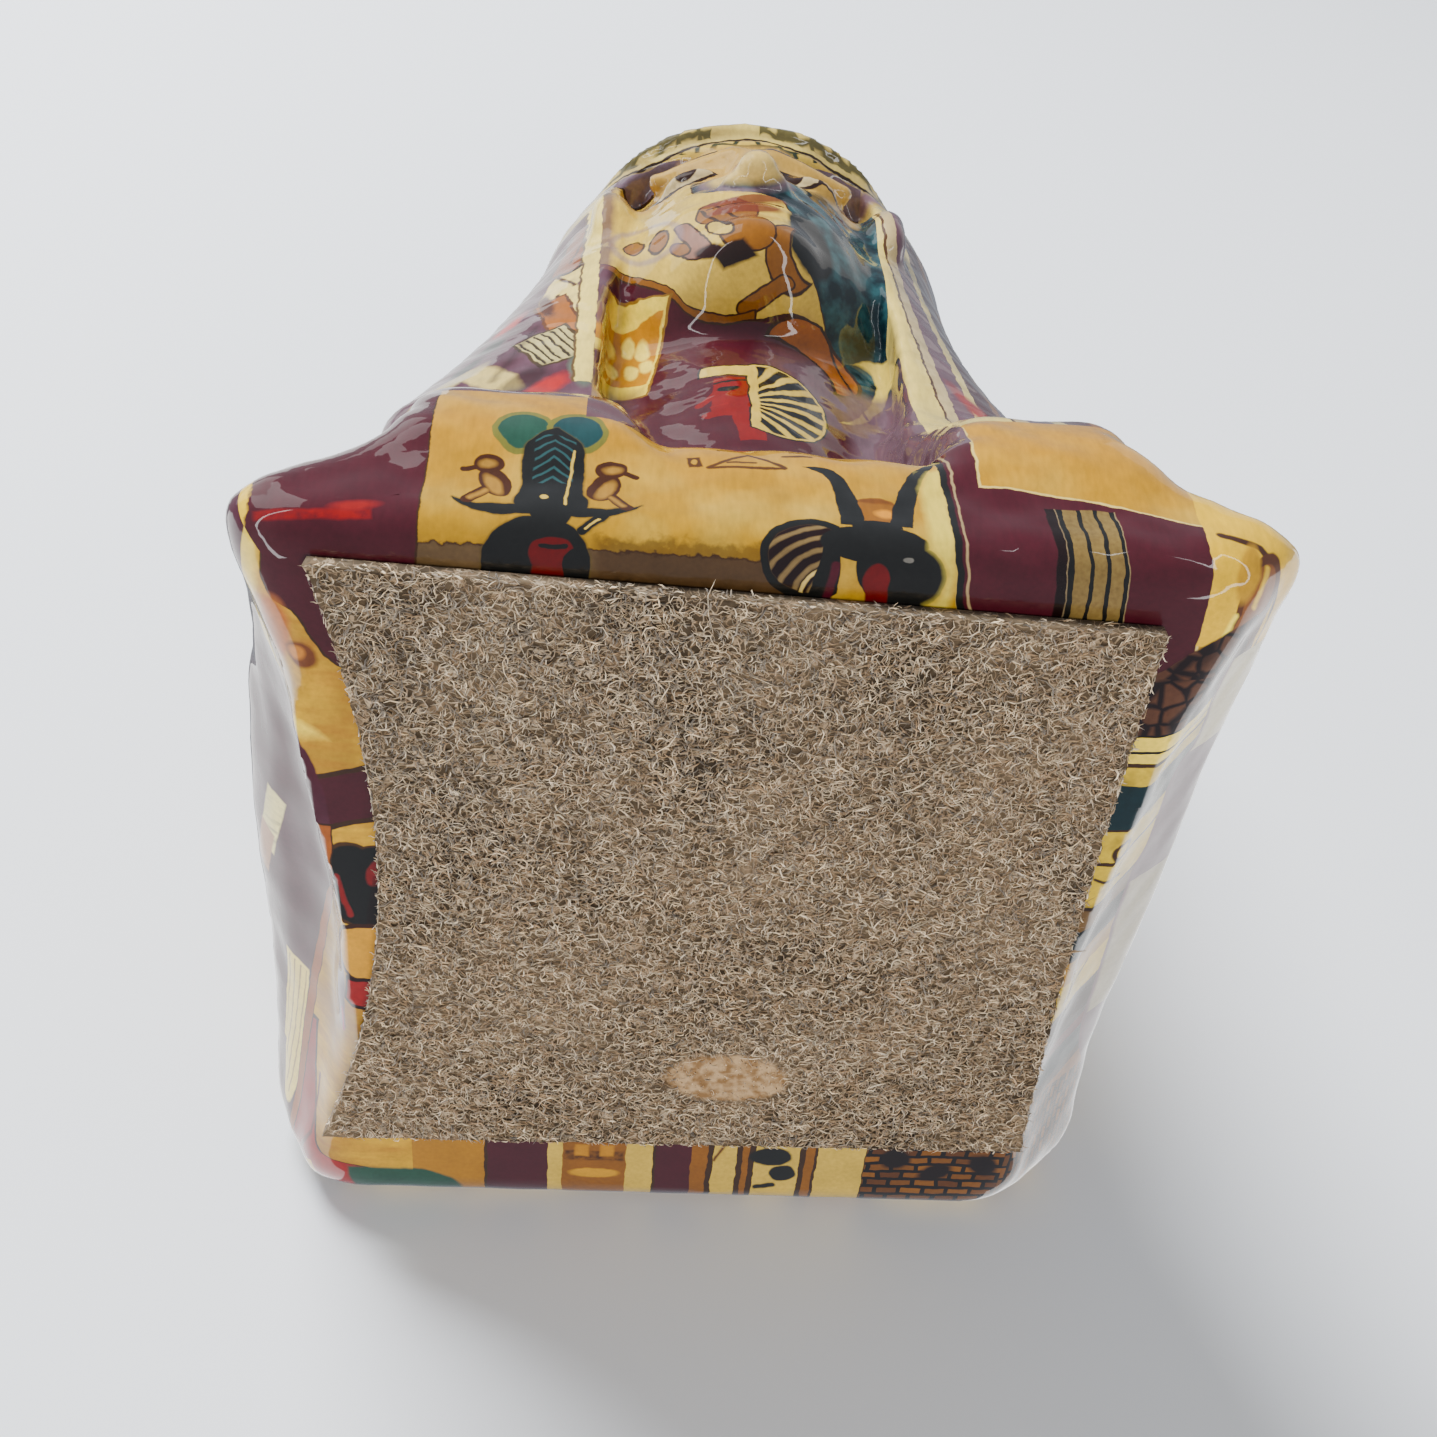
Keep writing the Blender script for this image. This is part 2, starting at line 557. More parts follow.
front.paint(CREAM, front.stroke(-12.8, 4.4, -13.8, 3.2, 0.22))
chevron = front.math("MULTIPLY_ADD", front.math("ABSOLUTE", front.math("ADD", u, 16.6)), 0.8, v)
chevron = front.math("ABSOLUTE", front.math("SUBTRACT", front.math("MODULO", chevron, 0.95), 0.47))
chevron = front.both(front.math("SUBTRACT", chevron, 0.13), front.block(-16.6, 11.8, 1.6, 2.6))
front.paint(ink("3E6E70"), chevron, 0.12, 0.8)
front.paint(CREAM, front.stroke(-15.0, 12.6, -15.5, 6.2, 0.22))
front.paint(CREAM, front.oval(-17.2, 7.1, 0.36, 0.36))
cheek = front.any_of(front.oval(-16.3, 0.1, 1.75, 2.0), front.block(-16.6, -2.2, 1.2, 1.8))
front.paint(ink("7C141C"), cheek, 0.15)
front.paint(CHARCOAL, front.any_of(front.oval(-14.4, -0.8, 1.1, 1.7), front.stroke(-17, 1.0, -15.4, 1.1, 0.5)))
for side, start in ((1, -21.7), (-1, -12.0)):
    bird_parts = [
        front.oval(start, 11.0, 1.25, 0.95),
        front.stroke(start - 0.6 * side, 10.8, start - 2.0 * side, 10.3, 0.5),
        front.oval(start + 0.6 * side, 8.8, 1.2, 2.0, 22 * side),
        front.stroke(start + 0.2 * side, 8.0, start - 1.3 * side, 6.2, 1.0),
    ]
    front.paint(ink("54300F"), front.any_of(*bird_parts))
    light_parts = [
        front.oval(start - 0.1 * side, 11.0, 0.7, 0.4),
        front.oval(start + 0.5 * side, 8.5, 0.6, 1.4, 26 * side),
        front.stroke(start, 7.6, start - 1.1 * side, 6.4, 0.45),
    ]
    front.paint(ink("B98C4C"), front.any_of(*light_parts), 0.3)

# rows of small signs over the middle of the panel
signs = [
    front.block(-5.4, 13.4, 0.55, 0.75, 8),
    front.stroke(-4.3, 12.6, -0.9, 15.2, 0.4),
    front.stroke(-0.9, 15.2, 2.0, 13.0, 0.4),
    front.stroke(-4.3, 12.6, 1.9, 12.9, 0.4),
    front.stroke(-2.6, 13.5, -0.4, 13.6, 0.3),
    front.stroke(-3.4, 16.0, -1.2, 16.4, 0.35),
    front.stroke(2.0, 15.3, 4.2, 15.6, 0.4),
    front.stroke(2.6, 16.3, 3.4, 16.4, 0.3),
]
front.paint(ink("6B4220"), front.any_of(*signs), 0.14)
front.paint(ink("C79C55"), front.oval(-5.4, 13.4, 0.25, 0.4))

# second head: bull's horns with a disc, a black cap and striped hair
horn_left = front.bend(v, [(5.6, 7.0), (9, 6.7), (11.6, 6.1), (13.0, 5.2), (13.7, 4.0)])
horn_right = front.bend(v, [(5.6, 10.8), (8.2, 11.2), (10.6, 11.9), (13.2, 12.8), (14.8, 13.7), (16.4, 14.7)])
wide_left = front.bend(v, [(5.6, 0.95), (9, 0.85), (12, 0.7), (13.3, 0.8), (13.8, 0.05)])
wide_right = front.bend(v, [(5.6, 0.95), (9, 0.85), (13, 0.7), (15, 0.5), (16.6, 0.05)])
bulls = []
for middle, wide, top in ((horn_left, wide_left, 13.7), (horn_right, wide_right, 16.4)):
    horn = front.math("SUBTRACT", front.math("ABSOLUTE", front.math("SUBTRACT", u, middle)), wide)
    bulls.append(front.both(horn, front.math("SUBTRACT", v, top), front.math("SUBTRACT", 5.4, v)))
front.paint(RUST, front.oval(8.9, 7.7, 2.0, 1.75))
front.paint(ink("8C5218"), front.both(front.oval(8.9, 7.7, 1.9, 1.7), front.math("SUBTRACT", 8.7, v)), 0.3)
front.paint(ink("D49A50"), front.oval(9.6, 7.3, 0.75, 0.6), 0.4)
hair = front.both(front.oval(3.6, 1.4, 3.6, 4.1), front.math("SUBTRACT", u, 5.6))
front.outlined(ink("9C8052"), hair, CHARCOAL, 0.7)
ring = front.vector("LENGTH", front.moved(6.4, -2.6))
strand = front.math("ABSOLUTE", front.math("SUBTRACT", front.math("MODULO", ring, 1.3), 0.62))
front.paint(ink("2E1C12"), front.both(front.math("SUBTRACT", strand, 0.42), front.math("ADD", hair, 0.3)), 0.2)
front.paint(ink("D6BE86"), front.both(front.math("SUBTRACT", front.math("ABSOLUTE", front.math("SUBTRACT", ring, 3.3)), 0.17), front.math("ADD", hair, 0.3)), 0.12)
cap = front.any_of(
    *bulls,
    front.block(8.9, 5.6, 2.0, 0.55),
    front.both(front.oval(8.6, 3.2, 4.3, 2.2), front.block(8.6, 3, 5, 2.5)),
    front.oval(10.7, 0.2, 3.4, 3.9, 38),
    front.stroke(5.3, 3.0, 4.4, -3.0, 1.4),
)
front.paint(CHARCOAL, cap)
front.paint(ink("7E1620"), front.any_of(front.oval(8.9, -0.8, 1.1, 1.7), front.block(9.0, -3.4, 0.9, 1.8)), 0.15)
front.paint(ink("8C8880"), front.oval(11.2, 1.5, 0.42, 0.3))
front.paint(ink("5E2430"), front.stroke(5.6, 0.6, 5.2, -2.6, 0.7), 0.2)

# the pale strip, the border line and the dark red field with its stripes
border = front.bend(v, [(-3.2, 15.9), (0, 15.25), (5, 15.0), (12, 14.9), (19, 14.3)])
past = front.math("SUBTRACT", border, u)
pale = front.both(past, front.math("SUBTRACT", u, border), front.oval(14, 5, 2.2, 12))
pale = front.both(front.math("SUBTRACT", front.math("ABSOLUTE", front.math("SUBTRACT", u, 13.9)), 1.0), front.block(14, 5, 1.2, 9))
front.paint(ink("E0D084"), front.both(pale, front.math("MULTIPLY", cap, -1)), 0.8, 0.7)
field_top = front.bend(u, [(15, 11.6), (17.5, 11.4), (22.6, 10.8), (27.4, 10.1), (31.3, 9.0), (35.6, 7.7)])
field = front.any_of(front.math("SUBTRACT", v, field_top), front.math("SUBTRACT", u, 17.6))
field = front.both(field, past, front.math("SUBTRACT", u, 35.4))
front.paint(ink("D9C48A"), front.math("SUBTRACT", field, 0.22))
front.paint(MAROON, field)
edge_line = front.math("ABSOLUTE", front.math("ADD", past, 0.1))
front.paint(CHARCOAL, front.math("SUBTRACT", edge_line, 0.3))
pale_line = front.math("ABSOLUTE", front.math("ADD", past, 0.75))
front.paint(ink("B9A078"), front.both(front.math("SUBTRACT", pale_line, 0.1), front.math("SUBTRACT", u, 17)))
across = front.math("MULTIPLY_ADD", v, 0.035, u)
striped = [
    (0, CHARCOAL), (23.0, ink("2C161C")), (23.75, ink("A08A66")), (23.92, CHARCOAL), (24.4, ink("A4884E")),
    (25.5, CHARCOAL), (25.8, ink("A4884E")), (26.9, CHARCOAL), (27.2, ink("A4884E")), (28.3, CHARCOAL),
    (28.6, ink("B09A70")), (28.75, MAROON),
]
stripes = front.bands(across, striped)
dash = front.math("MULTIPLY_ADD", front.grain(2.4, 1.0)["Fac"], 1.6, -0.35, clamp=True)
stripes = front.blend(front.math("MULTIPLY", dash, 0.4), stripes, RUST, "MULTIPLY")
stripe_area = front.both(
    front.math("SUBTRACT", 23.0, across), front.math("SUBTRACT", across, 28.8), front.math("SUBTRACT", v, 9.3)
)
front.paint(stripes, stripe_area, 0.12)

# the cream corner at the right, with the end of a yellow and rust leaf
front.paint(ink("DDBA66"), front.both(front.math("SUBTRACT", 35.4, u), front.math("SUBTRACT", -5.6, v)))
front.paint(ink("54300F"), front.any_of(front.stroke(36.6, 6.6, 39.8, 5.6, 0.75), front.stroke(39.8, 5.6, 42.2, 2.4, 0.8)), 0.2)
front.outlined(ink("A5610F"), front.any_of(front.oval(40.0, 0.6, 1.5, 4.4, -14), front.stroke(39.4, -2.0, 38.0, -6.6, 2.0)), ink("6E3C0E"), 0.5)
front.paint(ink("C89E22"), front.oval(38.6, 2.4, 1.0, 3.4, -8), 0.35)
front.paint(ink("E0C040"), front.stroke(40.4, 3.6, 39.6, -1.2, 0.5), 0.3)
front.paint(ink("F0DC90"), front.stroke(38.0, -2.4, 37.4, -5.0, 0.5), 0.3)

# dark red at the left corner, with a bright red edge
left_field = front.math("SUBTRACT", front.u, front.math("MULTIPLY_ADD", ragged, 0.5, -26.95))
left_field = front.both(left_field, front.math("SUBTRACT", -10.2, v))
front.paint(BROWN, front.math("SUBTRACT", left_field, 0.15))
front.paint(MAROON, left_field)
front.paint(ink("A8242A"), front.both(front.block(-34.6, 3.3, 4.4, 0.55, 4), front.math("SUBTRACT", ragged, 0.62)), 0.5)
front.paint(ink("B4403E"), front.oval(-31.5, 4.6, 1.7, 0.55, 12), 0.5, 0.8)
front.paint(ink("E2C368"), front.math("ADD", front.math("MULTIPLY_ADD", ragged, 1.2, 39.2), u), 0.3)

# the border at the foot's back, and the dark scales beside the felt on the right
def scales_over(sheet, area):
    cells = sheet.nodes.new("ShaderNodeTexVoronoi")
    cells.feature = "DISTANCE_TO_EDGE"
    cells.inputs["Scale"].default_value = 0.5
    cells.inputs["Randomness"].default_value = 0.7
    sheet.link(sheet.at, cells.inputs["Vector"])
    sheet.paint(ink("2C1C14"), area, 0.3)
    sheet.paint(ink("6E4630"), sheet.both(sheet.math("SUBTRACT", 0.09, cells.outputs["Distance"]), area), 0.1)


scales_over(front, front.both(front.math("SUBTRACT", 31, u), front.math("ADD", v, front.math("MULTIPLY_ADD", u, -0.9, 38))))
back_stops = [
    (-60, RED), (-35.0, ink("B98534")), (-21.9, BROWN), (-21.6, MAROON), (-15.5, CREAM), (-13.9, RUST),
    (-7.4, CREAM), (-4.7, BROWN), (-4.4, MAROON), (-0.7, RUST), (0.8, BROWN), (1.2, CREAM), (3.9, BROWN),
    (4.3, RUST), (5.1, BROWN), (5.5, CREAM), (10.3, BROWN), (10.7, RUST), (11.6, BROWN), (12.0, CREAM),
    (16.8, BROWN), (17.3, RUST),
]
back_end = front.math("ADD", v, 69)
front.paint(front.bands(u, back_stops), back_end)
front.paint(SEA_GREEN, front.both(front.oval(-29.6, -78.4, 5.6, 3.0, -6), back_end), 0.3)
front.paint(ink("5E3A14"), front.both(front.block(-10.6, -72.6, 3.0, 0.7), front.math("SUBTRACT", ragged, 0.55)), 0.3)
front.paint(ink("CFA148"), front.both(front.oval(-10.6, -75.4, 2.5, 0.8), back_end), 0.2)
front.paint(ink("C79236"), front.any_of(front.block(-11.9, -71.8, 0.7, 0.9), front.block(-9.3, -71.8, 0.7, 0.9)), 0.3)
front.paint(CHARCOAL, front.any_of(front.oval(7.4, -72.0, 2.2, 1.4), front.oval(8.8, -74.6, 1.3, 1.3), front.stroke(6.2, -76.9, 8.0, -76.6, 0.7)), 0.2)
front.paint(ink("7A4A26"), front.stroke(2.8, -69.6, 1.6, -72.8, 0.3), 0.2)
bricks = front.nodes.new("ShaderNodeTexBrick")
front.link(front.at, bricks.inputs["Vector"])
bricks.inputs["Scale"].default_value = 0.2
bricks.inputs["Mortar Size"].default_value = 0.05
bricks.inputs["Color1"].default_value = RUST
bricks.inputs["Color2"].default_value = ink("6E4020")
bricks.inputs["Mortar"].default_value = ink("24140C")
front.paint(bricks.outputs["Color"], front.both(front.math("SUBTRACT", 17.2, u), back_end))
front.paint(ink("2A1810"), front.both(front.any_of(front.oval(20.2, -71.8, 1.6, 1.6), front.oval(24.6, -73.8, 1.9, 1.2, 30), front.oval(29.4, -72.4, 1.3, 1.8, 40)), back_end), 0.5)
bust_mesh.materials.append(front.finish())


# The sheet over the left side, glued on from the wall down round the foot: dark red above with
# pale signs, a rust edging strip, and blots of black, red and gold on the foot. u runs back along
# the side, and v from under the foot outwards and up the wall.
left = Print("print_left")
out_left = left.math("MAXIMUM", left.math("SUBTRACT", -34.5, left.x), -6)
left.lay_out(left.math("ADD", left.y, 39), left.math("ADD", left.z, out_left), 0.5)
u, v = left.u, left.v
foot_line = left.bend(u, [(3, 9.4), (5, 10), (10.7, 13.6), (14, 12.2), (18.8, 4.6), (23.6, 2.8), (29.3, 2.2), (34, 2.6), (42.2, 7.6), (50, 10.3), (57.6, 12.4), (66.8, 14), (73.4, 14.4), (79, 16)])
cloud = left.grain(0.14, 3.0)["Fac"]
left.colour = left.blend(left.math("MULTIPLY_ADD", cloud, 3, -1.1, clamp=True), MUSTARD, ink("DDB865"))
fold = left.grain(0.5, 2.0, stretch=(0.4, 2.2, 0.4))["Fac"]
left.colour = left.blend(left.math("MULTIPLY_ADD", fold, 1.6, -0.55, clamp=True), left.colour, ink("B87C22"))
inner = left.math("MULTIPLY_ADD", left.grain(0.3, 2.0)["Fac"], 2.4, -1.2)

# dark red at the front, with a pale outer strip and golden folds
red_end = left.bend(u, [(0, 6.3), (5, 6), (6.7, 3.6), (9.1, 2.4), (11.5, 0.5), (13, -3), (14, -9)])
front_red = left.math("SUBTRACT", v, red_end)
left.outlined(MAROON, front_red)
left.paint(ink("E6CD84"), left.both(left.math("SUBTRACT", left.math("ABSOLUTE", left.math("SUBTRACT", v, foot_line)), 2.2), left.math("SUBTRACT", u, 19)), 1.2)
left.paint(ink("C07818"), left.oval(8.6, 6.4, 3.4, 2.0, 14), 0.7)
left.paint(ink("8A4A18"), left.oval(10.8, 3.7, 1.3, 1.6, 20), 0.4)
left.paint(ink("C98A3A"), left.oval(10.6, 4.1, 0.7, 0.9), 0.4)

# the blots along the foot
red_band = left.math("SUBTRACT", left.math("ABSOLUTE", left.math("SUBTRACT", left.math("MULTIPLY_ADD", v, -0.28, u), 25.4)), 2.9)
left.outlined(MAROON, red_band, BROWN, 0.6)
left.outlined(CHARCOAL, left.any_of(left.oval(36.0, 0.4, 5.2, 3.0, -8), left.oval(33.4, -1.6, 2.4, 2.2)), ink("5A3A18"), 0.25)
left.paint(RED, left.any_of(left.stroke(34.8, 2.0, 39.6, 1.0, 0.55), left.oval(34.2, -1.6, 1.6, 0.9, 20)), 0.2)
left.paint(ink("2E1E12"), left.both(left.block(38.4, -2.2, 3.4, 1.4, 10), left.math("SUBTRACT", 0.5, fold)), 0.5)
left.outlined(ink("D3A344"), left.oval(44.4, -0.4, 3.6, 4.4), ink("4A2A12"), 0.5)
left.outlined(ink("B01814"), left.both(left.block(50.0, -0.6, 1.9, 3.2, 12), left.math("SUBTRACT", 47.9, u)), ink("3A120E"), 0.5)
left.paint(ink("8E7482"), left.any_of(left.oval(50.8, 4.2, 5.2, 1.2, 6), left.stroke(49, 4.4, 55.4, 3.9, 1.4)), 0.35)
left.paint(ink("C24C70"), left.stroke(53.2, 4.0, 56.0, 3.8, 0.6), 0.3)
wedge = left.bend(u, [(60, 0), (64, 0.9), (70, 3.4), (74, 6.4), (76.5, 14), (80, 16)])
wedge_area = left.both(left.math("SUBTRACT", left.math("SUBTRACT", foot_line, left.math("ADD", wedge, 1.2)), v), left.math("SUBTRACT", v, foot_line), left.math("SUBTRACT", 60, u))
left.outlined(ink("B01814"), wedge_area, ink("4A1A10"), 0.5)
left.paint(ink("7A2018"), left.any_of(left.stroke(66, 9.8, 73, 9.2, 0.5), left.stroke(73, 9.2, 78, 12.5, 0.6)), 0.3)
left.paint(SEA_GREEN, left.both(left.math("SUBTRACT", 75.6, u), left.math("SUBTRACT", v, 3.2)), 0.4)

# the dark red wall over the foot, with pale signs, and the rust strip along its edge
above = left.math("SUBTRACT", foot_line, v)
left.paint(left.blend(left.math("MULTIPLY_ADD", cloud, 2.0, -0.6, clamp=True), ink("5A1E30"), ink("6B3A4C")), above, 0.2)
left.paint(ink("E8DDA8"), left.both(left.block(36.8, 18.6, 4.2, 1.7, 24), left.math("SUBTRACT", left.math("MULTIPLY", fold, 0.9), 0.6)), 0.3)
left.paint(ink("C99A78"), left.block(41.0, 20.8, 3.2, 1.5, 24), 0.3)
leaf = left.any_of(left.block(60.6, 17.0, 7.0, 2.5, 9), left.oval(68.4, 17.6, 6.4, 2.3, 4))
left.paint(ink("EBD999"), leaf, 0.2)
rib = left.math("SUBTRACT", left.math("ABSOLUTE", left.math("SUBTRACT", left.math("FLOORED_MODULO", left.math("MULTIPLY_ADD", u, -0.2, v), 1.25), 0.6)), 0.14)
left.paint(ink("B5925A"), left.both(rib, left.math("ADD", leaf, 0.5)), 0.2)
strip_line = left.math("SUBTRACT", left.math("ABSOLUTE", left.math("ADD", above, 0.7)), 0.72)
left.paint(BROWN, left.both(left.math("SUBTRACT", strip_line, 0.14), left.math("SUBTRACT", 28.6, u)))
left.paint(ink("B5692E"), left.both(strip_line, left.math("SUBTRACT", 28.8, u)))
bust_mesh.materials.append(left.finish())


# The sheet over the right side: bands of cream, teal and rust wrap the foot, and a faint grey and
# dark red field lies over them on the wall.
right = Print("print_right")
out_right = right.math("MAXIMUM", right.math("SUBTRACT", right.x, 34.5), -6)
right.lay_out(right.math("ADD", right.y, 39), right.math("ADD", right.z, out_right), 0.5)
u, v = right.u, right.v
hollow = right.math("MULTIPLY_ADD", right.math("MULTIPLY", v, v), 0.02, u)
PALE = ink("D2B766")
right_stops = [
    (0, ink("1E120C")), (15.0, ink("E4CE84")), (16.6, CHARCOAL), (17.0, ink("E4CE84")), (18.0, BROWN), (18.4, PALE),
    (20.4, ink("1B3A40")), (25.4, BROWN), (25.7, PALE), (29.4, BROWN), (29.9, PALE), (35.0, BROWN), (35.5, ink("8E6A3C")),
    (38.2, ink("1B2A2C")), (42.0, BROWN), (42.4, ink("B98E46")), (45.5, PALE), (50.5, BROWN), (56.4, ink("7E1A16")),
    (58.6, ink("1B3A40")), (62.5, BROWN), (64, RUST),
]
right.colour = right.bands(hollow, right_stops)
drift = right.grain(0.4, 3.0)["Fac"]
right.colour = right.blend(right.math("MULTIPLY_ADD", drift, 2.4, -1.2, clamp=True), right.colour, ink("4A3018"), "MULTIPLY")
scales_over(right, right.math("SUBTRACT", hollow, 15))
right.paint(ink("9AA08C"), right.both(right.oval(23.4, 6.2, 2.2, 1.6, 30), right.math("SUBTRACT", drift, 0.5)), 0.8)
ring_mark = right.math("SUBTRACT", right.math("ABSOLUTE", right.oval(28.4, 2.6, 1.1, 1.4)), 0.22)
right.paint(BROWN, right.any_of(ring_mark, right.stroke(31.6, 0, 33.2, 5.6, 0.35), right.stroke(45, 6, 49, 2, 0.3)), 0.15)
bricks = right.nodes.new("ShaderNodeTexBrick")
right.link(right.at, bricks.inputs["Vector"])
bricks.inputs["Scale"].default_value = 0.24
bricks.inputs["Mortar Size"].default_value = 0.05
bricks.inputs["Color1"].default_value = RUST
bricks.inputs["Color2"].default_value = ink("5A341C")
bricks.inputs["Mortar"].default_value = ink("24140C")
right.paint(bricks.outputs["Color"], right.math("SUBTRACT", 64, u))
foot_line = right.bend(u, [(5, 11), (10, 10), (19, 11.4), (22, 9.4), (30, 10.3), (35, 9.3), (48, 10.3), (55, 10.4), (67, 15), (79, 16)])
above = right.math("SUBTRACT", foot_line, v)
right.paint(ink("7E4A58"), above, 0.2)
right.paint(right.bands(u, [(0, ink("C8BC9A")), (20, ink("8C7078")), (36, ink("B9AE92")), (55, ink("8C7078")), (66, ink("A38A66"))]), right.math("ADD", above, 0.8), 0.8)
bust_mesh.materials.append(right.finish())


# The sheets round the back and the hood: the same kinds of borders, stripes, rows of signs, discs,
# birds and crowned heads, in patches that were torn off and glued at different angles.
def patchwork(name, around, seed, patch):
    """around gives the two coordinates, in mm, along which the paper is wrapped on that side."""
    sheet = Print(name)
    across, upward = around(sheet)
    join = sheet.nodes.new("ShaderNodeCombineXYZ")
    sheet.link(across, join.inputs[0])
    sheet.link(upward, join.inputs[1])
    join.inputs[2].default_value = seed
    cell = sheet.nodes.new("ShaderNodeTexVoronoi")
    cell.distance = "CHEBYCHEV"
    cell.inputs["Scale"].default_value = 1 / patch
    cell.inputs["Randomness"].default_value = 0.8
    sheet.link(join.outputs[0], cell.inputs["Vector"])
    chance = sheet.nodes.new("ShaderNodeSeparateXYZ")
    sheet.link(cell.outputs["Color"], chance.inputs[0])
    turn = sheet.nodes.new("ShaderNodeVectorRotate")
    turn.rotation_type = "Z_AXIS"
    sheet.link(join.outputs[0], turn.inputs["Vector"])
    quarter = sheet.math("ROUND", sheet.math("MULTIPLY", chance.outputs[0], 3))
    sheet.link(sheet.math("MULTIPLY_ADD", quarter, math.pi / 2, 0.12), turn.inputs["Angle"])
    parts = sheet.nodes.new("ShaderNodeSeparateXYZ")
    sheet.link(turn.outputs[0], parts.inputs[0])
    far_u = sheet.math("MULTIPLY_ADD", chance.outputs[1], 140, parts.outputs[0])
    far_v = sheet.math("MULTIPLY_ADD", chance.outputs[2], 90, parts.outputs[1])
    sheet.lay_out(far_u, far_v, 0.5)
    row = sheet.math("FLOORED_MODULO", sheet.v, 44)
    mottled = sheet.math("MULTIPLY_ADD", sheet.grain(0.12, 3.0)["Fac"], 3.0, -1.0, clamp=True)
    panel = sheet.blend(mottled, MUSTARD, CREAM)
    sheet.colour = sheet.bands(
        row,
        [
            (0, MAROON), (8.6, CREAM), (9.0, CHARCOAL), (9.4, MUSTARD), (28.0, CHARCOAL), (28.5, RUST),
            (29.3, CHARCOAL), (29.8, MUSTARD), (30.6, CHARCOAL), (31.1, MUSTARD), (31.9, CHARCOAL),
            (32.4, CREAM), (42.8, CHARCOAL), (43.2, CREAM), (43.6, CHARCOAL),
        ],
    )
    in_panel = sheet.math("SUBTRACT", sheet.math("ABSOLUTE", sheet.math("SUBTRACT", row, 18.7)), 9.3)
    sheet.paint(panel, in_panel)

    # one figure in each 15 mm of the panel, of two kinds in turn
    place = sheet.math("FLOORED_MODULO", sheet.u, 30)
    spot = sheet.nodes.new("ShaderNodeCombineXYZ")
    sheet.link(place, spot.inputs[0])
    sheet.link(row, spot.inputs[1])
    at = spot.outputs[0]
    for x, colour in ((5.4, SEA_GREEN), (9.6, TEAL)):
        sheet.outlined(colour, sheet.oval(x, 25.0, 2.1, 2.1, at=at), LIME, 0.4)
    dark = sheet.any_of(
        sheet.block(7.5, 21.2, 2.1, 3.2, at=at),
        sheet.both(sheet.oval(7.5, 19.6, 6.6, 2.6, at=at), sheet.math("MULTIPLY", sheet.oval(7.5, 20.6, 6.8, 2.6, at=at), -1)),
        sheet.oval(7.5, 14.6, 3.6, 3.4, at=at),
        sheet.oval(22.0, 15.6, 3.4, 2.6, 30, at=at),
    )
    sheet.paint(CHARCOAL, dark)
    sheet.paint(ink("8A1A1E"), sheet.any_of(sheet.oval(8.3, 13.4, 1.7, 2.4, at=at), sheet.block(8.3, 11.2, 1.0, 1.6, at=at)))
    sheet.paint(CREAM, sheet.any_of(sheet.stroke(8.6, 23.6, 8.4, 19.4, 0.25, at=at), sheet.oval(6.6, 19.4, 0.4, 0.4, at=at)))
    moon = sheet.both(sheet.oval(20.6, 24.0, 3.9, 3.2, at=at), sheet.math("MULTIPLY", sheet.oval(20.6, 25.4, 2.9, 3.0, at=at), -1))
    sheet.paint(CHARCOAL, moon)
    sheet.outlined(RUST, sheet.oval(20.6, 24.6, 1.7, 1.7, at=at))
    bird = sheet.any_of(
        sheet.oval(24.6, 18.2, 1.4, 1.2, at=at),
        sheet.oval(22.2, 15.2, 3.2, 1.7, 34, at=at),
        sheet.stroke(20.6, 13.6, 18.2, 11.4, 1.2, at=at),
        sheet.stroke(22.6, 14, 22.8, 11.0, 0.4, at=at),
    )
    sheet.outlined(ink("D8B268"), bird)
    sheet.paint(CREAM, sheet.oval(24.9, 18.4, 0.35, 0.35, at=at))

    # two rows of small signs on cream: bars, dots and waves, never letters
    sign_u = sheet.math("FLOORED_MODULO", sheet.u, 3.4)
    sign_v = sheet.math("FLOORED_MODULO", row, 4.9)
    drawn = sheet.nodes.new("ShaderNodeCombineXYZ")
    sheet.link(sign_u, drawn.inputs[0])
    sheet.link(sign_v, drawn.inputs[1])
    which = sheet.nodes.new("ShaderNodeTexWhiteNoise")
    which.noise_dimensions = "2D"
    number = sheet.vector("FLOOR", sheet.vector("DIVIDE", sheet.at, (3.4, 4.9, 1)))
    sheet.link(number, which.inputs["Vector"])
    odds = which.outputs["Value"]
    upright = sheet.block(1.7, 2.4, 0.22, 1.4, 6, at=drawn.outputs[0])
    level = sheet.any_of(sheet.stroke(0.7, 1.7, 2.7, 1.7, 0.4, at=drawn.outputs[0]), sheet.stroke(0.7, 3.0, 2.3, 3.2, 0.4, at=drawn.outputs[0]))
    round_sign = sheet.math("SUBTRACT", sheet.math("ABSOLUTE", sheet.oval(1.7, 2.4, 0.95, 0.95, at=drawn.outputs[0])), 0.18)
    chosen = sheet.any_of(
        sheet.math("ADD", upright, sheet.math("MULTIPLY", sheet.math("GREATER_THAN", odds, 0.4), 9)),
        sheet.math("ADD", level, sheet.math("MULTIPLY", sheet.math("LESS_THAN", odds, 0.3), 9)),
        sheet.math("ADD", round_sign, sheet.math("MULTIPLY", sheet.math("LESS_THAN", odds, 0.72), 9)),
    )
    in_signs = sheet.math("SUBTRACT", sheet.math("ABSOLUTE", sheet.math("SUBTRACT", row, 37.6)), 5.0)
    sheet.paint(ink("5C3A1E"), sheet.both(chosen, in_signs), 0.13)

